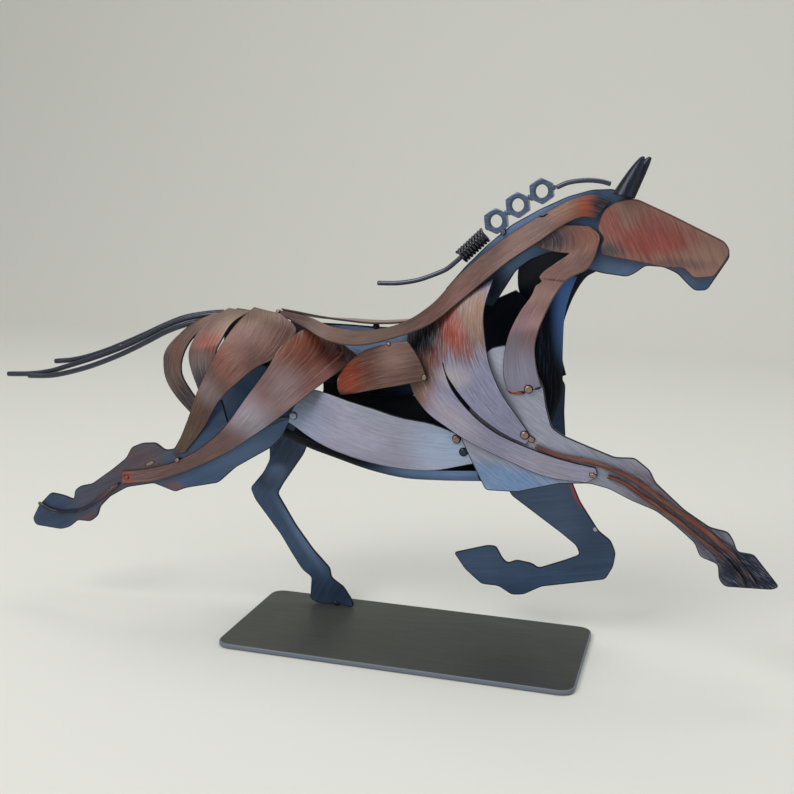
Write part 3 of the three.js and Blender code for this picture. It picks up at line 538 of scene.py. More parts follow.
farHindLeg = {
    "side": far, "out": hindFarOut, "grain": 60,
    "outline": [[-104, 149.5], [-123, 139], [-130.5, 127], [-129, 114], [-113, 102], [-97, 99], [-97, 91],
        [-101, 83], [-110, 72], [-107, 65], [-90, 44], [-83, 33], [-76, 23], [-70, 19], [-71, 5],
        [-66, soleZ], [-43, soleZ], [-43, 6], [-49, 15], [-57, 20], [-58, 26], [-69, 37], [-80, 51],
        [-92, 70], [-88, 77], [-75, 96], [-71, 106], [-73, 124], [-89, 146]],
    "finish": "navy",
    # The lighter patches are painted highlights; the darker blotches are painted shade of dents in the
    # plate.
    "patches": [("#1a293f", -85, 96, 14, 9, 20, 0.6, 0.6, 0.8),
        ("#5a7192", -78, 46, 24, 3, 125, 0.7, 0.5, 0.8), ("#55698a", -92, 84, 5, 4, 30, 0.6, 0.6, 0.8),
        ("#141f31", -100, 78, 6, 5, 0, 0.7, 0.5, 0.7), ("#1d2a3c", -58, 12, 16, 9, 0, 0.7, 0.4, 0.6),
        ("#465a74", -95, 80, 6, 5, 30, 0.6, 0.4, 0.6)],
}
nearHindLeg = {
    "side": near, "out": hindNearOut, "grain": 25,
    "outline": [[-142, 102], [-148, 101], [-154, 105], [-163, 104], [-170, 101], [-174, 94], [-184, 86],
        [-198, 76], [-206, 74], [-210, 71], [-211, 65], [-218, 67], [-227, 68], [-236, 59], [-241, 50],
        [-239, 46], [-221, 45], [-215, 47], [-209, 52], [-200, 52], [-195, 56], [-193, 62], [-186, 69],
        [-174, 76], [-156, 80], [-142, 76], [-135, 79], [-114, 84], [-103, 94], [-80, 108], [-74, 114],
        [-67, 127], [-86, 124], [-107, 120], [-111, 134], [-123, 129], [-133, 117]],
    "finish": "navy",
    "patches": [("#54474a", -166, 92, 32, 14, 20, 0.5, 0.4, 0.95),
        ("#4a4a54", -196, 70, 22, 10, 30, 0.6, 0.5, 0.85),
        ("#6e4640", -142, 79.5, 6, 2.6, 0, 0.7, 0.6, 0.8), ("#3a4a60", -142, 96, 9, 7, 0, 0.7, 0.5, 0.8),
        ("#5a3a34", -200, 54, 9, 4, 10, 0.8, 0.6, 0.7), ("#2f4059", -228, 57, 17, 14, 0, 0.5, 0.3, 0.9),
        ("#4f6480", -100, 104, 22, 6, 32, 0.7, 0.4, 0.5)],
}
nearForeleg = {
    "side": near, "out": foreOut, "grain": -35,
    "outline": [[42, 168], [46, 172], [54, 174], [66, 168], [74, 153], [76, 142], [79, 132], [85, 128],
        [96, 124], [112, 118.5], [122, 119], [130, 113], [133, 107], [148, 94], [161, 86], [170, 84.5],
        [173, 80], [175, 74.5], [183, 74], [196.2, 58.4], [193, 56.5], [170, 55.5], [167, 59], [166, 67],
        [157, 70], [154, 77], [143, 86], [134, 92], [121, 96.5], [110, 101.5], [100, 103.5], [84, 102],
        [62, 95.5], [45, 95], [37, 110], [31, 122]],
    "finish": "lilac",
    "patches": [("#6a88b0", 54, 101, 34, 9, -4, 0.45, 0.35, 0.95),
        ("#7c8292", 112, 110, 22, 12, -30, 0.6, 0.4, 0.8),
        ("#605058", 140, 94, 28, 9, -38, 0.6, 0.4, 0.95), ("#44404e", 160, 80, 14, 9, -40, 0.6, 0.4, 0.95),
        ("#121c32", 183, 64, 21, 17, 0, 0.4, 0.3, 1.0), ("#b4bccf", 54, 160, 12, 13, 0, 0.6, 0.4, 0.7)],
}
farForeleg = {
    "side": far, "out": foreOut, "grain": 10,
    "outline": [[52, 82], [82, 62], [90, 56], [92, 51], [84, 47], [69, 40.5], [65, 43], [56, 44],
        [51, 41.5], [48, 44], [44, 51], [39, 51], [19, 44.5], [26, 35], [36, 27], [46, 27], [54, 22.5],
        [61, 23.5], [71, 29.5], [86, 33], [107, 38], [111, 46], [112, 54], [109, 61], [102, 66], [91, 82],
        [86, 93], [82, 110], [80, 132], [80, 148], [74, 156], [60, 154], [48, 140], [44, 118], [45, 95]],
    "finish": "navy",
    "patches": [("#495d78", 74, 76, 22, 14, -50, 0.6, 0.3, 0.8),
        ("#30425b", 98, 50, 20, 14, 0, 0.6, 0.4, 0.7), ("#a0444c", 88.3, 87, 1.7, 8, 26, 0.5, 0.5, 0.95),
        ("#c9c4c0", 100.2, 66.8, 1.2, 1.2, 0, 0.3, 0.2, 0.9),
        ("#4a5f7a", 36, 37, 18, 9, 0, 0.7, 0.3, 0.5)],
}
crestPlate = {
    "side": near, "out": 0, "grain": 35,
    "outline": [[15, 199], [27, 213], [38, 224], [51, 235], [66, 243.5], [80, 250], [92, 253.5],
        [103, 254], [113, 249], [161, 226], [162, 221], [152, 204], [146, 203.5], [142, 207], [137, 212],
        [130, 215], [121, 215.5], [116, 211.5], [112, 209.5], [99, 211], [91, 213], [83, 221], [72, 221],
        [62, 217], [54, 211], [48, 201], [42, 191]],
    "finish": "navy",
    # The last patch, dark low at the rear end, is painted shadow.
    "patches": [("#7389b4", 58, 241, 44, 7, 30, 0.6, 0.3, 0.9),
        ("#56698a", 120, 212, 34, 7, 0, 0.7, 0.3, 0.8), ("#5f789e", 56, 219, 14, 5, 40, 0.7, 0.3, 0.8),
        ("#141c2c", 46, 200, 6, 12, 20, 0.7, 0.3, 0.9)],
}
cheek = {
    "out": headOut, "grain": -65, "finish": "head",
    "outline": [[115, 249], [133, 241], [159, 228.5], [162, 224], [160, 219], [155, 211], [145, 210],
        [140, 215], [131, 215], [120, 217], [99, 220.5], [98, 225], [100, 229], [96, 233.5], [97, 238],
        [99, 243], [104, 247], [110, 249]],
    "patches": [("#8c413b", 123, 228, 19, 8, 4, 0.6, 0.9, 0.9),
        ("#8a4846", 124, 236, 7, 9, 20, 0.8, 0.9, 0.7), ("#3f4450", 100, 223, 9, 4, 0, 0.8, 1.0, 0.9),
        ("#8f4038", 101, 240, 4, 8, 20, 0.8, 0.9, 0.5), ("#8c6f63", 152, 218, 11, 8, 0, 0.6, 0.5, 0.7),
        ("#5a4648", 137, 217, 16, 2.5, 0, 0.8, 0.9, 0.6)],
}


def makeFlat(node, spec, seed, extras=()):
    # A slab cut to the outline, standing upright at its distance out from the middle plane
    def upright(x, z, height):
        return placed(np.stack([x, z, spec["out"] + height], -1), spec["side"])

    island = slab(roundedOutline(spec["outline"], cornerRadius), upright, grain=spec["grain"])
    paint = paintMaterial(node + "_paint", spec["finish"], spec["patches"], seed)
    makePiece(node, "_painted", [island, *extras], paint)


footSpot = [-54, soleZ + 1.4, plateThick / 2 - hindFarOut]
hockOut = hindNearOut + plateThick / 2
makeFlat("far_hind_leg", farHindLeg, 1.0, [
    dome(footSpot, 1.5, ripple=0.12, stretch=1.5, slot=navyBead, seed=1)])
makeFlat("near_hind_leg", nearHindLeg, 2.0, [
    dome([-176, 81, hockOut], 1.7, ripple=0.15, slot=redBead, seed=2, turn=30),
    dome([-158, 92, hockOut], 1.3, ripple=0.1, stretch=2.6, turn=20, seed=3, flat=0.4)])
makeFlat("near_foreleg", nearForeleg, 3.0)
makeFlat("far_foreleg", farForeleg, 4.0)
makeFlat("crest_and_jaw_plate", crestPlate, 5.0)
makeFlat("head_plate_near", {**cheek, "side": near}, 6.0)
makeFlat("head_plate_far", {**cheek, "side": far}, 6.0)
print("flat plates made")

# ---- Ears ----

ears = {"foot": [109, 251.9], "radius": 6, "out": 7, "lean": 3, "squash": 0.8, "thick": 0.8, "hem": 0.25,
        "nearTip": [117.5, 269.8], "farTip": [120.3, 269.8], "opening": 0.23, "heel": 3,
        "patches": [("#10161f", 111, 257, 9, 9, 0, 0.7, 0.3, 0.8)]}


def makeEar(node, side, tip, spec):
    # A leaf rolled into an open cone: a circle's arc, narrowing to the tip by a square root
    t = np.linspace(0, 1, 41)[:, None]
    turn = pi * (spec["opening"] + 2 * (1 - spec["opening"]) * np.linspace(0, 1, 41)[None])
    dx, dz = tip[0] - spec["foot"][0], tip[1] - spec["foot"][1]
    length = np.hypot(dx, dz)
    radius = spec["radius"] * np.sqrt(1 - 0.995 * t) * (1 - 0.25 * t)
    across = radius * np.cos(turn)
    out = spec["out"] - spec["lean"] * t + spec["squash"] * radius * np.sin(turn)
    heel = spec["heel"] * (1 - t) ** 2 * (0.5 - 0.5 * np.cos(turn))     # the back reaches lower
    points = np.stack([spec["foot"][0] + dx * t + across * dz / length,
                       spec["foot"][1] + dz * t - across * dx / length - heel, out], -1)
    run = np.stack([length * t + 0 * turn, radius * turn], -1)
    island = shell([{"points": points, "run": run}], side, spec["thick"], (-dz, 0, dx), spec["hem"])
    weld = dome([109, 250.6, headOut + plateThick / 2], 1.1, side, ripple=0.1, slot=navyBead, seed=4)
    # The ear's inward face is near-black: painted shade in its hollow
    paint = paintMaterial(node + "_paint", "navy", spec["patches"], 9.0, tone="#1c2334", rough=0.3,
                          inside="#0a0e18")
    makePiece(node, "_painted", [island, weld], paint)


makeEar("ear_near", near, ears["nearTip"], ears)
makeEar("ear_far", far, ears["farTip"], ears)

# ---- Mane: nuts, spring and rods ----

nuts = {"flat": 6, "hole": 3.5, "thick": 5.5, "turn": 0.12, "pitch": 1.25, "thread": 0.28, "lead": 0.55,
        "spots": [[66.3, 252.5], [54, 245.2], [42.7, 236.7]],
        "welds": [[[72.3, 254.4, 1.3]], [], [[46.8, 231.2, 1.7], [38.2, 233.4, 1.4]]]}
nutPaint = paintMaterial("nutPaint", "rod", seed=6.0, tone="#44536f", fleck="#8fa4c8", rough=0.3,
                         metal=0.35, contrast=0.45, fleckShare=0.25, specular=0.5, coat=0.4)


def nutIsland(spot, spec):
    # Rings round the hole's axis. The outer wall's radius is flat / cos(angle off the nearest
    # flat), its faces fall away outside the chamfer circle, and the hole carries a screw wave.
    angle = np.linspace(0, 2 * pi, 96, endpoint=False) + spec["turn"] + pi / 6
    off = (angle - spec["turn"] + pi / 6) % (pi / 3) - pi / 6
    outer = np.minimum(spec["flat"] / np.cos(off), spec["flat"] * 1.135)
    half, chamfer, lead = spec["thick"] / 2, spec["flat"] * 0.97, spec["lead"]
    fall = np.maximum(0, outer - chamfer) * np.tan(radians(30))
    depth = np.linspace(-half + lead, half - lead, 41)[:, None]
    fade = np.minimum(1, (half - lead - np.abs(depth)) / 0.5)
    wave = 0.5 + 0.5 * np.cos(2 * pi * depth / spec["pitch"] + angle)
    top = 0 * angle + np.array([[spec["hole"] + lead, half], [chamfer, half]])[..., None]
    wall = np.stack([np.stack([outer, half - fall]), np.stack([outer, fall - half])])
    low = top[::-1] * np.array([1, -1])[:, None]
    hole = np.stack([spec["hole"] + spec["thread"] * fade * wave, depth + 0 * angle], 1)
    radius, height = np.concatenate([top, wall, low, hole]).swapaxes(0, 1)
    x, z = radius * np.cos(angle), radius * np.sin(angle)
    return ringed(np.stack([spot[0] + x, midY + height, spot[1] + z], -1), np.stack([x + height, z], -1),
                  ends=False)


def makeNuts(spec):
    # Each nut carries the bead that joins it to the next one, and its welds to the crest
    spots = spec["spots"]
    for k, spot in enumerate(spots):
        islands = [nutIsland(spot, spec)]
        if k + 1 < len(spots):
            step = np.array(spots[k + 1]) - spot
            x, z = spot + step * (spec["flat"] + 0.6) / np.hypot(*step)
            turn = float(np.degrees(np.arctan2(step[1], step[0])))
            bead = dome([x, z, 1.6], 1.7, sink=3.4, ripple=0.12, stretch=0.7, turn=turn, slot=0, seed=k)
            islands.append(bead)
        for x, z, radius in spec["welds"][k]:
            islands.append(dome([x, z, 1.6], radius, sink=3.2, ripple=0.12, slot=0, seed=k + 40))
        makePiece(f"mane_nut_{k + 1}", "_turned", islands, nutPaint)


makeNuts(nuts)

spring = {"foot": [23.9, 217.3], "head": [37, 229.6], "turns": 9, "perTurn": 40, "coil": 3.5, "wire": 0.9,
          "tone": "#0f1320"}


def makeSpring(spec):
    # A helix: the axis, plus coil radius (across cos a + sideways sin a), a growing with the axis
    t = np.linspace(0, 1, spec["turns"] * spec["perTurn"] + 1)
    turn = 2 * pi * spec["turns"] * t
    foot, head = np.array(spec["foot"]), np.array(spec["head"])
    dx, dz = (head - foot) / np.hypot(*(head - foot))
    radial = np.stack([-dz * np.cos(turn), np.sin(turn), dx * np.cos(turn)], -1)
    axis = foot + (head - foot) * t[:, None]
    path = np.stack([axis[:, 0], 0 * t + midY, axis[:, 1]], -1) + spec["coil"] * radial
    paint = paintMaterial("springPaint", "rod", seed=7.0, tone=spec["tone"], fleck="#3c4a6a", rough=0.22,
                          metal=0.4, specular=0.5, coat=0.5)
    makePiece("mane_spring", "_wire", [carry(path, radial, spec["wire"], 12)], paint)


makeSpring(spring)

maneRods = {
    "mane_rod_front": [[73.8, 254.4], [80, 257], [90, 258.2], [97, 257.6], [101.5, 256.4]],
    "mane_rod_rear": [[26, 219.2], [21, 214.6], [16, 210.6], [8, 207], [0, 204.2], [-11, 202.2],
        [-23, 201.8]],
}
maneRod = 1.3
maneRodPaint = paintMaterial("maneRodPaint", "rod", seed=8.0, tone="#1f2740", specular=0.6, coat=0.8)
for node, points in maneRods.items():
    makePiece(node, "_round", [rod(points, maneRod)], maneRodPaint)

# ---- Tail ----

tail = {
    "radius": 1.6, "gap": 0.3,
    "rods": [
        [[-265.5, 136.9], [-249, 138], [-234.4, 140.5], [-221.3, 144.6], [-204.8, 150], [-184.4, 157.6],
            [-167.6, 165.3], [-154.1, 172], [-141.8, 176.6], [-127.9, 179.6], [-116, 181]],
        [[-248, 137.3], [-232, 138.4], [-219, 141.2], [-202.6, 146.2], [-182.3, 154.3], [-165.6, 162.3],
            [-152.2, 169.1], [-140, 173.7], [-129, 176.6]],
        [[-233.3, 146.2], [-220.2, 147.9], [-204.9, 152], [-186.6, 158.9], [-169.7, 166.2],
            [-156.1, 172.4], [-143.7, 177.2], [-129.7, 180.1], [-118, 181.5]]],
}
rodPaint = paintMaterial("rodPaint", "rod", seed=2.0, tone="#1a2134", specular=0.5, coat=0.5)
tailSpeck = dome([-184.6, 158.9, 0.6], 0.9, axis=(0, -0.6, 0.8), slot=redBead, seed=8, ripple=0.1)
step = 2 * tail["radius"] + tail["gap"]
for k, (points, out, specks) in enumerate(zip(tail["rods"], (0, step, -step), ([tailSpeck], [], []))):
    makePiece(f"tail_rod_{k + 1}", "_round", [rod(points, tail["radius"], out), *specks], rodPaint)

# ---- Rods along the stretched legs ----

legRods = {
    "foreleg_rod_upper": {
        "radius": 1.3, "out": foreOut + 1.3, "tone": "#664238",
        "points": [[71.3, 121.6], [82, 118], [104, 114.7], [120, 109], [142, 95], [155, 87], [167, 78],
            [174, 72], [185, 58]],
        "patches": [("#10182a", 184, 60, 24, 20, 0, 0.4, 0.4, 1.0),
                    ("#7c3a34", 160, 83, 12, 3, -40, 0.8, 0.8, 0.6)]},
    "foreleg_rod_lower": {
        "radius": 1.1, "out": foreOut + 1.3, "tone": "#664238",
        "points": [[109, 108.5], [117, 106], [127, 99.8], [143, 89.8], [155, 81], [167, 72.6], [173, 67],
            [180, 58]],
        "patches": [("#10182a", 180, 59, 24, 20, 0, 0.4, 0.4, 1.0),
                    ("#6e3630", 128, 99, 12, 4, -30, 0.8, 0.8, 0.6)]},
    "hind_leg_rod": {
        "radius": 1, "out": hindNearOut + 1, "tone": "#262d40",
        "points": [[-179, 78], [-192, 68], [-206, 59], [-216, 57], [-226, 57], [-235, 61]],
        "patches": [("#161c28", -225, 58, 22, 16, 0, 0.6, 0.4, 1.0),
                    ("#6a3a34", -186, 73, 10, 4, 40, 0.8, 0.8, 0.7)]},
}
for k, (node, spec) in enumerate(legRods.items()):
    out = spec["out"] + plateThick / 2 + weldGap      # measured from the leg plate's middle
    paint = paintMaterial(node + "_paint", "copper", spec["patches"], 11.0 + k, tone=spec["tone"],
                          rim=spec["tone"], rough=0.34, width=0.003)
    makePiece(node, "_round", [rod(spec["points"], spec["radius"], out)], paint)
print("rods, nuts and spring made")

# ---- Near rump: four strips that fan out from the croup ----

tuckedOut = hindNearOut - 2.4     # inside the leg plate
hindStripTop, foreStripTop = (out + sheetThick / 2 for out in (hindStripOut, foreStripOut))
rumpNear = [
    {"a": [[-111, 183], [-131, 177], [-147, 162], [-148, 148], [-141, 133], [-128, 120]],
     "b": [[-100, 181], [-117, 177], [-130, 165], [-134, 149], [-131, 137], [-121.5, 125]],
     "settle": (0.5, 0.86), "endOut": tuckedOut, "tone": "#644f49",
     "patches": [("#8a6a60", -118, 177, 14, 6, -20, 0.7, 0.7, 0.8),
         ("#2c3038", -133, 127, 13, 14, 0, 0.8, 0.9, 0.85),
         ("#6d3f33", -141, 163, 5, 10, 10, 0.8, 0.9, 0.6),
         ("#3a3a40", -147, 140, 4, 26, 0, 0.8, 0.8, 0.7)]},
    {"a": [[-109, 185], [-121, 176], [-127, 164], [-127, 152], [-123, 134]],
     "b": [[-93, 184.5], [-102, 178], [-107, 168], [-111.5, 156], [-114, 137.5]],
     "settle": (0.55, 1), "endOut": hindStripOut + 0.8, "tone": "#6f5650",
     # The pale lilac patch is partly the strip's paint, partly painted reflection.
     "patches": [("#8a4637", -115, 167, 8, 4, 10, 0.7, 1.1, 0.75),
         ("#8c8088", -119, 148, 9, 9, 0, 0.8, 0.7, 0.6), ("#2b3140", -123, 141, 5, 12, -10, 0.8, 0.8, 0.9),
         ("#7c7260", -100, 181, 12, 5, 0, 0.7, 0.6, 0.6)]},
    {"a": [[-92, 186.5], [-98, 179], [-105, 168], [-110, 159], [-117, 145], [-126, 128], [-136, 111],
        [-142, 99]],
     "b": [[-76, 183.5], [-65, 175], [-70, 163], [-84, 155], [-96, 145], [-108, 134], [-120, 118],
         [-134, 101]],
     "settle": (0.6, 0.97), "endOut": hindStripOut, "tone": "#593f39",
     # The pale patches across its middle, #8a655c and #8d8084, are painted sheen.
     "patches": [("#8a655c", -100, 157, 9, 13, 30, 0.8, 0.9, 0.8),
         ("#5d4138", -74, 172, 9, 12, 0, 0.8, 0.7, 0.8), ("#8a5046", -107, 160, 5, 12, 35, 0.7, 0.9, 0.6),
         ("#8d8084", -112, 139, 7, 12, 35, 0.8, 0.8, 0.5),
         ("#54463a", -133, 109, 9, 14, 30, 0.7, 0.6, 0.85),
         ("#7a695a", -86, 182, 12, 5, 0, 0.8, 0.5, 0.5)]},
    {"a": [[-61.5, 176], [-70.5, 167.5], [-77, 155], [-88.5, 139], [-101, 123], [-115, 111], [-138, 96],
        [-159, 89], [-176, 86]],
     "b": [[-40, 167], [-32, 160], [-42, 152], [-54, 142], [-67, 131], [-85, 118], [-111, 101], [-150, 83],
         [-177, 78]],
     "settle": (0.45, 0.8), "endOut": hindStripOut, "tone": "#7a5b5c",
     # The navy-black patch at the upper front end is painted shade where the strip turns inward; the pale
     # lilac patches low in its middle are painted reflection.
     "patches": [("#6b3627", -50, 164, 17, 10, -15, 0.6, 0.9, 0.95),
         ("#86381f", -58, 170, 9, 4, 20, 0.7, 0.9, 0.7), ("#3f1c17", -42, 166, 9, 7, -20, 0.7, 0.9, 0.9),
         ("#6e4438", -66, 165, 9, 7, 35, 0.7, 0.9, 0.7), ("#10151f", -31, 166, 9, 12, 0, 0.5, 0.7, 1.0),
         ("#a7a3b0", -86, 124, 11, 19, 42, 0.9, 0.8, 0.85),
         ("#9a8c90", -66, 142, 9, 12, 42, 0.9, 0.9, 0.5), ("#634d49", -125, 98, 24, 9, 30, 0.8, 0.5, 0.8),
         ("#5a4543", -150, 88, 26, 8, 15, 0.8, 0.4, 0.8), ("#7a4a42", -52, 147, 12, 5, 40, 0.8, 0.9, 0.5),
         ("#8f4038", -173, 82.4, 4, 3.5, 0, 0.6, 0.5, 0.85)]},
]
rumpWelds = [[], [], [], [
    dome([-139, 96, hindStripTop], 1.5, ripple=0.1, dimple=0.15, seed=11),
    dome([-173.4, 82.4, hindStripTop], 1.6, ripple=0.15, slot=redBead, seed=12, flat=0.5)]]


def finishSheet(node, islands, finish, spec, seed, **changes):
    # Paints a bent sheet and joins its rivets and welds to it
    paint = paintMaterial(node + "_paint", finish, spec["patches"], seed, tone=spec["tone"], **changes)
    makePiece(node, "_bent", islands, paint)


def makeStrip(node, side, spec, finish, seed, extras=(), changes=(), **lay):
    # lay says how layGrid lays the strip between its edges a and b
    sheet = shell([layGrid(spec["a"], spec["b"], **lay)], side)
    finishSheet(node, [sheet, *extras], finish, spec, seed, **dict(changes))


for k, (spec, welds) in enumerate(zip(rumpNear, rumpWelds)):
    makeStrip(f"rump_strip_near_{k + 1}", near, spec, "copper", 20.0 + k, welds, form="rump",
              closest=closestTop, lift=k * layer, settle=spec["settle"], endOut=spec["endOut"])

# ---- Far rump: three strips down to the standing leg ----

rumpFar = {
    "rear": [[-114, 183], [-127, 166], [-127, 146], [-117, 124], [-104, 105]],
    "front": [[-66, 175], [-68, 160], [-76, 142], [-84, 122], [-94, 104]],
    "share": [0.04, 0.92], "strips": 3, "tone": "#6f564e",
}
rear, front = np.array(rumpFar["rear"]), np.array(rumpFar["front"])
for k in range(rumpFar["strips"]):
    a, b = (rear + (front - rear) * (k + share) / rumpFar["strips"] for share in rumpFar["share"])
    # The pale patch low on each strip is partly the strip's paint, partly painted reflection.
    spec = {"a": a, "b": b, "tone": rumpFar["tone"], "patches": [
        ("#8a4636", -105 + 14 * k, 165, 8, 7, 10, 0.7, 0.9, 0.7),
        ("#9c949e", -108 + 8 * k, 132, 10, 14, 0, 0.8, 0.8, 0.7)]}
    makeStrip(f"rump_strip_far_{k + 1}", far, spec, "copper", 26.0 + k, form="rump", lift=layer,
              settle=(0.6, 1), endOut=foreStripOut, closest=closestOut if k else closestTop)

# ---- Back strips: from the croup over the saddle and up the crest to the poll ----

backStrip = {
    "a": [[-82, 185, 3.5], [-60, 182, 9], [-46, 178, 12.5], [-27, 176.5, 15], [-5, 181.5, 14.5],
        [11, 192, 11.5], [24, 207, 7], [38, 220, 3.6], [51, 230, 3], [65, 239, 2.6], [84, 249, 2.3],
        [94, 251, 2.2], [102, 248, 2.2]],
    "b": [[-80.5, 183, 5], [-62, 178, 15.5], [-45, 171.5, 22], [-25.5, 170.3, 25.5], [-2.5, 176.3, 24.5],
        [13, 183, 21.5], [27, 194.5, 16], [41, 207, 13], [53, 217, 10], [66, 226, 7.5], [80, 236, 5],
        [88, 239.5, 3.6], [95, 239, 2.6]],
    # Over the saddle the far strip lies flatter and higher
    "farA": [[-82, 185, 3.5], [-60, 180.6, 9.5], [-46, 178.8, 12], [-27, 177.8, 13.5], [-5, 181, 13.5]],
    "farB": [[-80.5, 183, 5], [-62, 179.4, 15.5], [-45, 178.8, 20], [-25.5, 178.4, 22], [-2.5, 181, 22.5],
        [13, 185, 21.5]],
    "tone": "#573f3a",
    "patches": [("#4a3632", -66, 180, 12, 5, -15, 0.7, 0.5, 0.8),
        ("#6e5a4e", -20, 174, 30, 5, 0, 0.8, 0.6, 0.6), ("#6b4038", 20, 194, 18, 4, 45, 0.8, 0.9, 0.5),
        ("#87604f", 84, 243, 10, 6, 20, 0.8, 0.7, 0.7), ("#93442c", 91, 245, 5, 6, 0, 0.7, 0.9, 0.85),
        ("#1c2536", 99, 246, 6, 8, 0, 0.6, 0.6, 0.95)],
    # The far strip's lighter tone is painted light on its upturned face.
    "farLitTone": "#937e78",
}


def makeBackStrip(node, side, spec, seed, extras=()):
    # The far strip has its own points over the saddle and shares the rest
    if side == far:
        a, b = (spec[other] + spec[key][len(spec[other]):] for key, other in (("a", "farA"), ("b", "farB")))
        spec = {**spec, "a": a, "b": b, "tone": spec["farLitTone"]}
    makeStrip(node, side, spec, "copper", seed, extras, {"rim": "#55423e", "contrast": 0.34}, rows=150,
              cols=12)


makeBackStrip("back_strip_near", near, backStrip, 30.0, [
    dome([-80.2, 184, 5.7], 1.6, ripple=0.15, axis=(0, -0.6, 0.8), seed=14),
    dome([68.5, 240.3, 2.6], 1.3, ripple=0.1, stretch=2.6, turn=33, axis=(-0.3, -0.3, 0.9), seed=15)])
makeBackStrip("back_strip_far", far, backStrip, 31.0)

# ---- Flanks ----

flankLeaf = {
    "a": [[-41, 150, 13.5], [-33, 159.5, 17], [-24, 166.5, 20.5], [-10, 171.5, 23], [1, 173.5, 22.5]],
    "b": [[-38, 141, 17], [-29, 143, 21], [-14, 147, 24.5], [-1, 150, 25], [12, 153, 22.6]],
    "tone": "#684b44",
    "patches": [("#8a371c", -32, 152, 11, 9, 40, 0.6, 0.8, 0.95),
        ("#5c3428", -20, 156, 6, 10, 0, 0.8, 0.9, 0.6), ("#5a4640", 6, 160, 5, 12, 0, 0.7, 0.7, 0.6),
        ("#8b7268", -5, 163, 9, 5, 10, 0.8, 0.8, 0.6)],
}
makeStrip("flank_leaf_near", near, flankLeaf, "copper", 33.0, [
    dome([-9, 171.6, 23.6], 1.4, ripple=0.15, axis=(0, -0.9, 0.4), seed=16),
    dome([11, 154.6, 23.9], 1.6, ripple=0.12, dimple=0.1, seed=17),
    dome([-39.8, 148.6, 15.2], 1.3, ripple=0.15, seed=18)], bulge=(0, 0, 1.5), bow=(1, 2))

flankFar = {
    "a": [[-65, 176.4], [-47, 175.8], [-25, 175], [4, 176.5]],
    "b": [[-64, 134], [-45, 134], [-20, 134], [4, 137]],
    # Its light blue tone is painted light, brightened where the lamps hardly reach it; the near-black
    # patches are painted shade inside the body.
    "tone": "#a8c2ee",
    "patches": [("#04060a", -30, 134, 90, 24, 0, 0.25, 0.1, 1.0),
        ("#04060a", -70, 172, 16, 20, 0, 0.3, 0.1, 1.0), ("#04060a", 6, 160, 18, 22, 0, 0.4, 0.1, 1.0),
        ("#16243e", -6, 141, 16, 6, 0, 0.7, 0.2, 0.9)],
}
makeStrip("flank_sheet_far", far, flankFar, "navy", 34.0, [
    dome([-29.5, 175.3, 18.6], 2, far, axis=(0, -1, 0.1), flat=1.1, dimple=0.2, slot=navyBead, seed=19)],
    {"inside": None}, form="barrel", lift=-1.5)

# ---- Near shoulder: one sheet slit into two lobes ----

shoulder = {
    "rearOuter": [[-3, 176], [-1, 162], [3, 146], [11, 137], [24, 129], [36, 122], [56, 113], [77, 105.5],
        [98, 104]],
    "rearInner": [[17, 188], [19, 175], [20.6, 163], [25.6, 151], [38, 137.6], [51, 127.7], [71, 119.4],
        [88, 114.9], [102.4, 112.6]],
    "frontLeft": [[17, 188], [19, 175], [20.8, 163], [27.2, 151.2], [38.6, 139.4], [48.8, 131.4],
        [57.4, 125.6], [66, 121.9]],
    "frontRight": [[44, 207], [41, 190], [43, 176], [46, 164], [51, 153.5], [56, 145], [62, 136],
        [69, 126]],
    "slit": 0.25, "slitEase": 0.2, "grid": (96, 24), "frontRun": 12, "rivet": (0.958, 0.667),
    "tone": "#8485a0",
    # The near-black patch at the upper rear is painted shade under the back strip; the pale lilac patches
    # are painted reflections.
    "patches": [("#765a4a", 28, 183, 26, 16, 20, 0.5, 0.5, 0.95),
        ("#7a5c44", 38, 188, 6, 16, 12, 0.7, 0.5, 0.7), ("#84311c", 21, 183, 7, 20, 38, 0.6, 0.45, 0.9),
        ("#6f2c1c", 11, 166, 9, 9, 0, 0.6, 0.5, 0.95), ("#0b1019", 3, 178, 14, 15, 40, 0.4, 0.3, 1.0),
        ("#6f4c34", 7, 148, 9, 14, 0, 0.6, 0.5, 0.95), ("#6e4e3e", 9, 157, 10, 8, 0, 0.6, 0.7, 0.9),
        ("#b6a9ad", 27, 156, 8, 5, 0, 0.8, 0.8, 0.7), ("#a79ba6", 28, 134, 18, 7, -35, 0.8, 0.6, 0.6),
        ("#928d9b", 78, 110, 26, 8, -12, 0.8, 0.5, 0.7)],
}


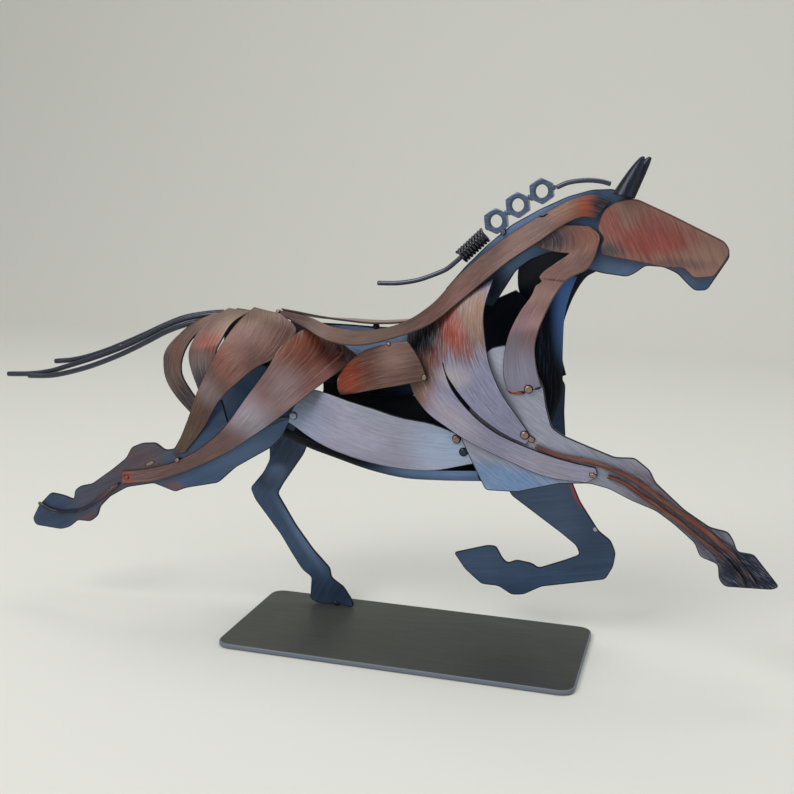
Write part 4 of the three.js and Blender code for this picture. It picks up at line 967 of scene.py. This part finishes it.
def makeShoulder(spec):
    # Two lobes laid on the shoulder form, which share one row of points down to the slit
    rows, cols = spec["grid"]

    def frontLeft(t):
        # Shares the rear lobe's edge down to the slit, then eases over to its own
        ease = smoothStep(spec["slit"], spec["slit"] + spec["slitEase"], t)[:, None]
        return alongCurve(spec["rearInner"], t) * (1 - ease) + alongCurve(spec["frontLeft"], t) * ease

    lay = {"form": "shoulder", "rows": rows, "cols": cols, "endOut": foreStripOut}
    rear = layGrid(spec["rearOuter"], spec["rearInner"], settle=(0.45, 0.85), bow=(0, 3), **lay)
    front = layGrid(frontLeft, spec["frontRight"], settle=(0.6, 1), **lay)
    shared = int(round(spec["slit"] * rows))
    front["points"][:shared + 1, 0] = rear["points"][:shared + 1, -1]
    front["run"][..., 1] += spec["frontRun"]
    x, z, out = front["points"][int(spec["rivet"][0] * rows), int(spec["rivet"][1] * cols)]
    rivet = dome([x, z, out + sheetThick / 2], 2.5, dimple=0.16, ripple=0.02, seed=20)
    collar = dome([x + 3.4, z - 2.2, out], 1.5, ripple=0.15, stretch=1.6, turn=-30, seed=21)
    endWeld = dome([101.5, 108.4, foreStripOut + 0.2], 1.8, ripple=0.2, seed=22, flat=0.8)
    finishSheet("shoulder_sheet_near", [shell([rear, front]), rivet, collar, endWeld], "lilac", spec, 40.0,
                contrast=0.32, rim="#2a2426")


makeShoulder(shoulder)

shoulderFar = {
    "a": [[-2, 174], [0, 158], [5, 144], [14, 131], [28, 117], [46, 100]],
    "b": [[52, 199.5], [64.5, 188], [63, 177], [56, 166], [55, 135], [58, 106]],
    "tone": "#8c8593",
    "patches": [("#7a5c50", 30, 180, 34, 22, 20, 0.6, 0.6, 0.95),
        ("#93432c", 20, 168, 12, 9, 35, 0.7, 0.9, 0.8)],
}
# The far shoulder's inward face is its navy paint darkened by painted shade inside the body
makeStrip("shoulder_sheet_far", far, shoulderFar, "lilac", 42.0, (), {"inside": "#10192a"}, form="shoulder",
          settle=(0.6, 1), endOut=foreStripOut)

# ---- Throat strips: a shield with one wing, then a strip down to the foreleg plate ----

throat = {
    "left": [[79, 235.5, 3.2], [82, 229, 4.2], [83, 222, 5.4], [76, 216, 7.6], [69, 210, 10.5],
        [65, 199, 15], [60, 191, 18], [55, 179, 21.4], [53, 168, 22], [53, 158, 21.8],
        [55.5, 149.5, foreStripOut]],
    "right": [[92, 235, 3], [97.5, 230.5, 4], [97, 224, 5.6], [93, 214, 7.6], [83, 208, 10.5],
        [77.5, 200, 15], [73.5, 191, 18], [70.5, 182, 21.4], [69, 174, 22], [70, 164, 21.8],
        [73, 153, foreStripOut]],
    # The far strip stands further forward and is broader behind
    "farLeft": [[79, 235.5, 3.2], [82, 229, 4.2], [83, 222, 5.4], [68, 222, 8.6], [55, 216.5, 11.8],
        [52.6, 203, 14.8], [56, 189.5, 19.6], [59, 179, 23.1], [61.2, 168, 23.4], [60, 158, 21.9],
        [62.5, 149.5, foreStripOut]],
    "farShift": 7, "farSwell": 1.8, "wingRun": 18,
    "wingTip": [64, 226.5, 5.2], "wingShare": 4 / 18, "wingFall": 0.45, "tone": "#6c4f49",
    "notch": {"z": 206.4, "deep": 2.4, "half": 1.3}, "grid": (120, 16),
    # The thin dark line just under the notch is painted shadow of the shield's corner.
    "patches": [("#84859a", 61, 160, 16, 16, 0, 0.7, 0.7, 0.95),
        ("#765b60", 64, 184, 10, 12, 0, 0.8, 0.9, 0.7), ("#6a4f4a", 86, 222, 9, 9, 0, 0.8, 0.9, 0.6),
        ("#8a5a4c", 92, 229, 7, 6, 0, 0.8, 0.8, 0.7), ("#26303f", 72, 228, 9, 5, 0, 0.8, 0.9, 0.8),
        ("#6d6a78", 57, 172, 5, 10, 0, 0.8, 0.9, 0.6), ("#2e201f", 77, 207.4, 9, 0.5, -5, 0.6, 0.3, 0.75)],
}


def makeThroat(node, side, spec, seed, extras=(), **changes):
    # A strip between its two edges, and a wing of rows from tip (s = 0) to strip (s = 1):
    # tip * (1 - s) + root * s, with y moved by 2 * s * (1 - s) * (2 - t), t from 0 at the top to 4
    rows, cols = spec["grid"]
    left, right = spec["left"], spec["right"]
    if side == far:
        left, right = spec["farLeft"], np.array(right, float)
        right[:, 0] += spec["farShift"] * smoothStep(226, 208, right[:, 1])
        right[:, 2] += spec["farSwell"] * np.exp(-((right[:, 1] - 174) / 8) ** 2)
    strip = layGrid(left, right, rows=rows, cols=cols, bow=(0, 1))
    if side == near:
        # A nick where the shield's corner stands out over the strip: deep * (1 - s)^3 * a bell in z
        share, height = np.linspace(1, 0, cols + 1) ** 3, strip["points"][..., 1]
        nick = np.exp(-((height - spec["notch"]["z"]) / spec["notch"]["half"]) ** 2)
        strip["points"][..., 0] += spec["notch"]["deep"] * share * nick
    reach = int(spec["wingShare"] * rows) + 1
    t = np.linspace(0, 4, reach)[:, None]
    s = np.r_[0, np.linspace(0.05, 0.95, 15), 1][None, :]
    tip = np.array(spec["wingTip"], float)
    tips = np.concatenate([0 * t + tip[0], tip[1] - spec["wingFall"] * t, 0 * t + tip[2]], 1)
    root = strip["points"][:reach, 0]
    wing = tips[:, None] * (1 - s[..., None]) + root[:, None] * s[..., None]
    wing[..., 1] += 4 * s * (1 - s) * 0.5 * (2 - t)
    along, across = strip["run"][:reach, :1, 0], strip["run"][:reach, :1, 1]
    run = np.stack([along + 0 * s, across - spec["wingRun"] * (1 - s)], -1)
    island = shell([{"points": wing, "run": run}, strip], side)
    finishSheet(node, [island, *extras], "copper", spec, seed, rim="#54403c", contrast=0.24, **changes)


crack = {"flat": 0.8, "ripple": 0.05, "sink": 1}      # the weld runs out on both sides of the rivet
makeThroat("throat_strip_near", near, throat, 44.0, [
    dome([66.5, 151.5, foreStripTop], 2.4, dimple=0.14, ripple=0.02, seed=24),
    dome([60.2, 149.2, foreStripOut + 0.1], 1.0, stretch=4.2, turn=-4, slot=redBead, seed=25, **crack),
    dome([71.2, 152.4, foreStripOut + 0.1], 0.9, stretch=2.2, turn=25, slot=navyBead, seed=26, **crack)])
# The far throat strip's inward face is its navy paint darkened by painted shade inside the neck
makeThroat("throat_strip_far", far, throat, 45.0, inside="#131a28")

# ---- Breast, belly and keel ----

breast = {
    "near": [[76.5, 209.5, 7.4], [72.5, 199, 13], [70, 188, 17], [69, 173, insideOut],
        [68.5, 160, insideOut], [69.5, 146, insideOut], [66, 130, insideOut]],
    "far": [[77.5, 209.5, -7.2], [74, 199, -11.8], [72, 188, -15], [72, 173, -17], [72.5, 160, -insideOut],
        [72.5, 146, -insideOut], [67, 130, -insideOut]],
    # Its near-black tone and black patch are painted shade deep in the chest; the blue band is a painted
    # highlight.
    "bulge": (9, 0, 0), "tone": "#070b14",
    "patches": [("#44639a", 83.5, 186, 6, 30, 4, 0.6, 0.15, 0.95),
        ("#030509", 76, 144, 14, 20, 0, 0.5, 0.1, 1.0)],
}
breastGrid = layGrid(breast["near"], breast["far"], rows=60, cols=30, bulge=breast["bulge"])
finishSheet("breast_sheet", [shell([breastGrid], outward=(1, 0, 0))], "navy", breast, 47.0, metal=0.0,
            specular=0.05, coat=0.0, rough=0.8)

belly = {
    "a": [[-56.5, 143.5], [-36, 140.5], [-17, 137], [-1, 132.5], [15, 129], [34, 122]],
    "b": [[-69.5, 123.5], [-53, 115.6], [-32, 108.4], [-10, 103.6], [14, 102.8], [38, 108.5]],
    "rise": 0.35, "tone": "#9496a8",
    "rivets": [[-66, 127.5, hindStripOut], [28.2, 121.5, insideOut + 0.5], [32.1, 114.6, insideOut]],
    "patches": [("#8094b4", -60, 124, 15, 14, 0, 0.7, 0.5, 0.85),
        ("#a5a2ba", -20, 116, 40, 12, -8, 0.8, 0.8, 0.7), ("#9eb0cc", 24, 117, 18, 14, 0, 0.7, 0.4, 0.85),
        ("#8f8ea4", -40, 134, 16, 6, 0, 0.8, 0.6, 0.6)],
}
# The first rivet has the strip's own paint, the next two are a copper and a navy bead
rivets = [dome([x, z, out + sheetThick / 2], 2.5, dimple=0.14, ripple=0.02, seed=30 + k, slot=k)
          for k, (x, z, out) in enumerate(belly["rivets"])]
for node, side, seed, rise, extras in (("belly_strip_near", near, 50.0, belly["rise"], rivets),
                                       ("belly_strip_far", far, 51.0, 0, ())):
    makeStrip(node, side, belly, "lilac", seed, extras, {"rim": "#2b2a33"}, form="barrel", lift=0.5,
              bow=(2, 0), settle=(0.45, 0.95), rise=rise, startOut=hindStripOut, endOut=insideOut, rows=110,
              cols=26)

keel = {
    "line": [[-76, 111.6], [-60, 106.4], [-45, 102.2], [-24, 96.7], [-4, 93.8], [16, 94.2], [40, 95.8]],
    # Its near-black tone and black rear patch are painted shade under the belly; the blue band at the front
    # is a painted highlight.
    "half": 16.4, "taper": 3, "deep": 9, "arc": 0.98, "tone": "#141c2a",
    "patches": [("#6f87b0", 20, 101, 34, 6, 0, 0.6, 0.2, 0.9),
        ("#030509", -58, 108, 40, 14, 0, 0.4, 0.2, 1.0)],
}


def makeKeel(spec):
    # A channel: half width * sin a across and depth * (1 - cos a) up, along the keel line
    t = np.r_[0, np.linspace(0.006, 0.994, 79), 1]
    line = alongCurve(spec["line"], t)[:, None]
    half = (spec["half"] - spec["taper"] * (1 - smoothStep(0, 0.2, t)))[:, None]
    turn = (np.r_[0, np.linspace(0.015, 0.985, 33), 1] - 0.5)[None] * pi * spec["arc"]
    points = np.stack([line[..., 0] + 0 * turn, line[..., 1] + spec["deep"] * (1 - np.cos(turn)),
                       half * np.sin(turn)], -1)
    run = np.stack([line[..., 0] + 0 * turn, half * turn], -1)
    channel = shell([{"points": points, "run": run}], outward=(0, 0, -1))
    finishSheet("keel_channel", [channel], "navy", spec, 53.0, rim="#05070b", metal=0.1, specular=0.1,
                coat=0.0, rough=0.65)


makeKeel(keel)
print("strips made")

# ---- Floor, light and camera ----

studio = {
    "floor": "#dcdcd6", "world": 0.52, "keyPower": 22.0, "fillPower": 3.0, "topPower": 12.0,
    "eye": (0.1548, -0.5524, 0.2477), "yaw": -16.43, "tilt": 10.55, "roll": -0.69, "lens": 48.26,
}


def makeFloor(tone):
    # A sweep: flat, then a quarter circle up into a wall
    reach, wall, bend = 3.0, 2.2, 0.8
    angle = np.linspace(0, pi / 2, 24)
    y = np.r_[-reach, 1.2 + bend * np.sin(angle), 1.2 + bend]
    z = np.r_[0, bend - bend * np.cos(angle), wall]
    x = np.linspace(-4, 4, 9)
    verts = np.stack([np.repeat(x, len(y)), np.tile(y, len(x)), np.tile(z - 0.0004, len(x))], -1)
    quads = gridQuads(len(x), len(y))[:, ::-1]
    mesh = bpy.data.meshes.new("floor")
    mesh.from_pydata(verts.tolist(), [], quads.tolist())
    mesh.shade_smooth()
    material = bpy.data.materials.new("floorPaint")
    material.use_nodes = True
    shader = material.node_tree.nodes["Principled BSDF"]
    shader.inputs["Base Color"].default_value = linear(tone)
    shader.inputs["Roughness"].default_value = 0.7
    mesh.materials.append(material)
    floor = bpy.data.objects.new("floor", mesh)
    bpy.context.scene.collection.objects.link(floor)


def makeLight(name, place, target, size, power, tone=(1, 1, 1)):
    data = bpy.data.lights.new(name, "AREA")
    data.shape = "DISK"
    data.size, data.energy, data.color = size, power, tone
    light = bpy.data.objects.new(name, data)
    bpy.context.scene.collection.objects.link(light)
    light.location = place
    light.rotation_euler = (Vector(target) - Vector(place)).to_track_quat("-Z", "Y").to_euler()


def makeCamera(spec):
    yaw, tilt, roll = (radians(spec[key]) for key in ("yaw", "tilt", "roll"))
    forward = Vector((sin(yaw) * cos(tilt), cos(yaw) * cos(tilt), -sin(tilt)))
    right = Vector((cos(yaw), -sin(yaw), 0))
    down = forward.cross(right)
    right, down = cos(roll) * right + sin(roll) * down, cos(roll) * down - sin(roll) * right
    data = bpy.data.cameras.new("camera")
    data.lens, data.sensor_width = spec["lens"], 36
    data.clip_start, data.clip_end = 0.01, 50
    camera = bpy.data.objects.new("camera", data)
    bpy.context.scene.collection.objects.link(camera)
    axes = Matrix((right, -down, -forward)).transposed().to_4x4()
    camera.matrix_world = Matrix.Translation(spec["eye"]) @ axes
    bpy.context.scene.camera = camera


makeFloor(studio["floor"])
makeLight("key", (-0.9, -1.3, 1.6), (0, 0, 0.12), 1.2, studio["keyPower"])
makeLight("fill", (1.6, -1.0, 0.8), (0, 0, 0.12), 1.4, studio["fillPower"], (0.95, 0.98, 1))
makeLight("top", (0.1, 0.3, 1.9), (0, 0, 0.1), 1.4, studio["topPower"])
makeCamera(studio)
world = bpy.data.worlds.new("world")
world.use_nodes = True
world.node_tree.nodes["Background"].inputs[0].default_value = (0.86, 0.87, 0.85, 1)
world.node_tree.nodes["Background"].inputs[1].default_value = studio["world"]
bpy.context.scene.world = world
bpy.context.scene.view_settings.view_transform = "Standard"
print("studio ready")
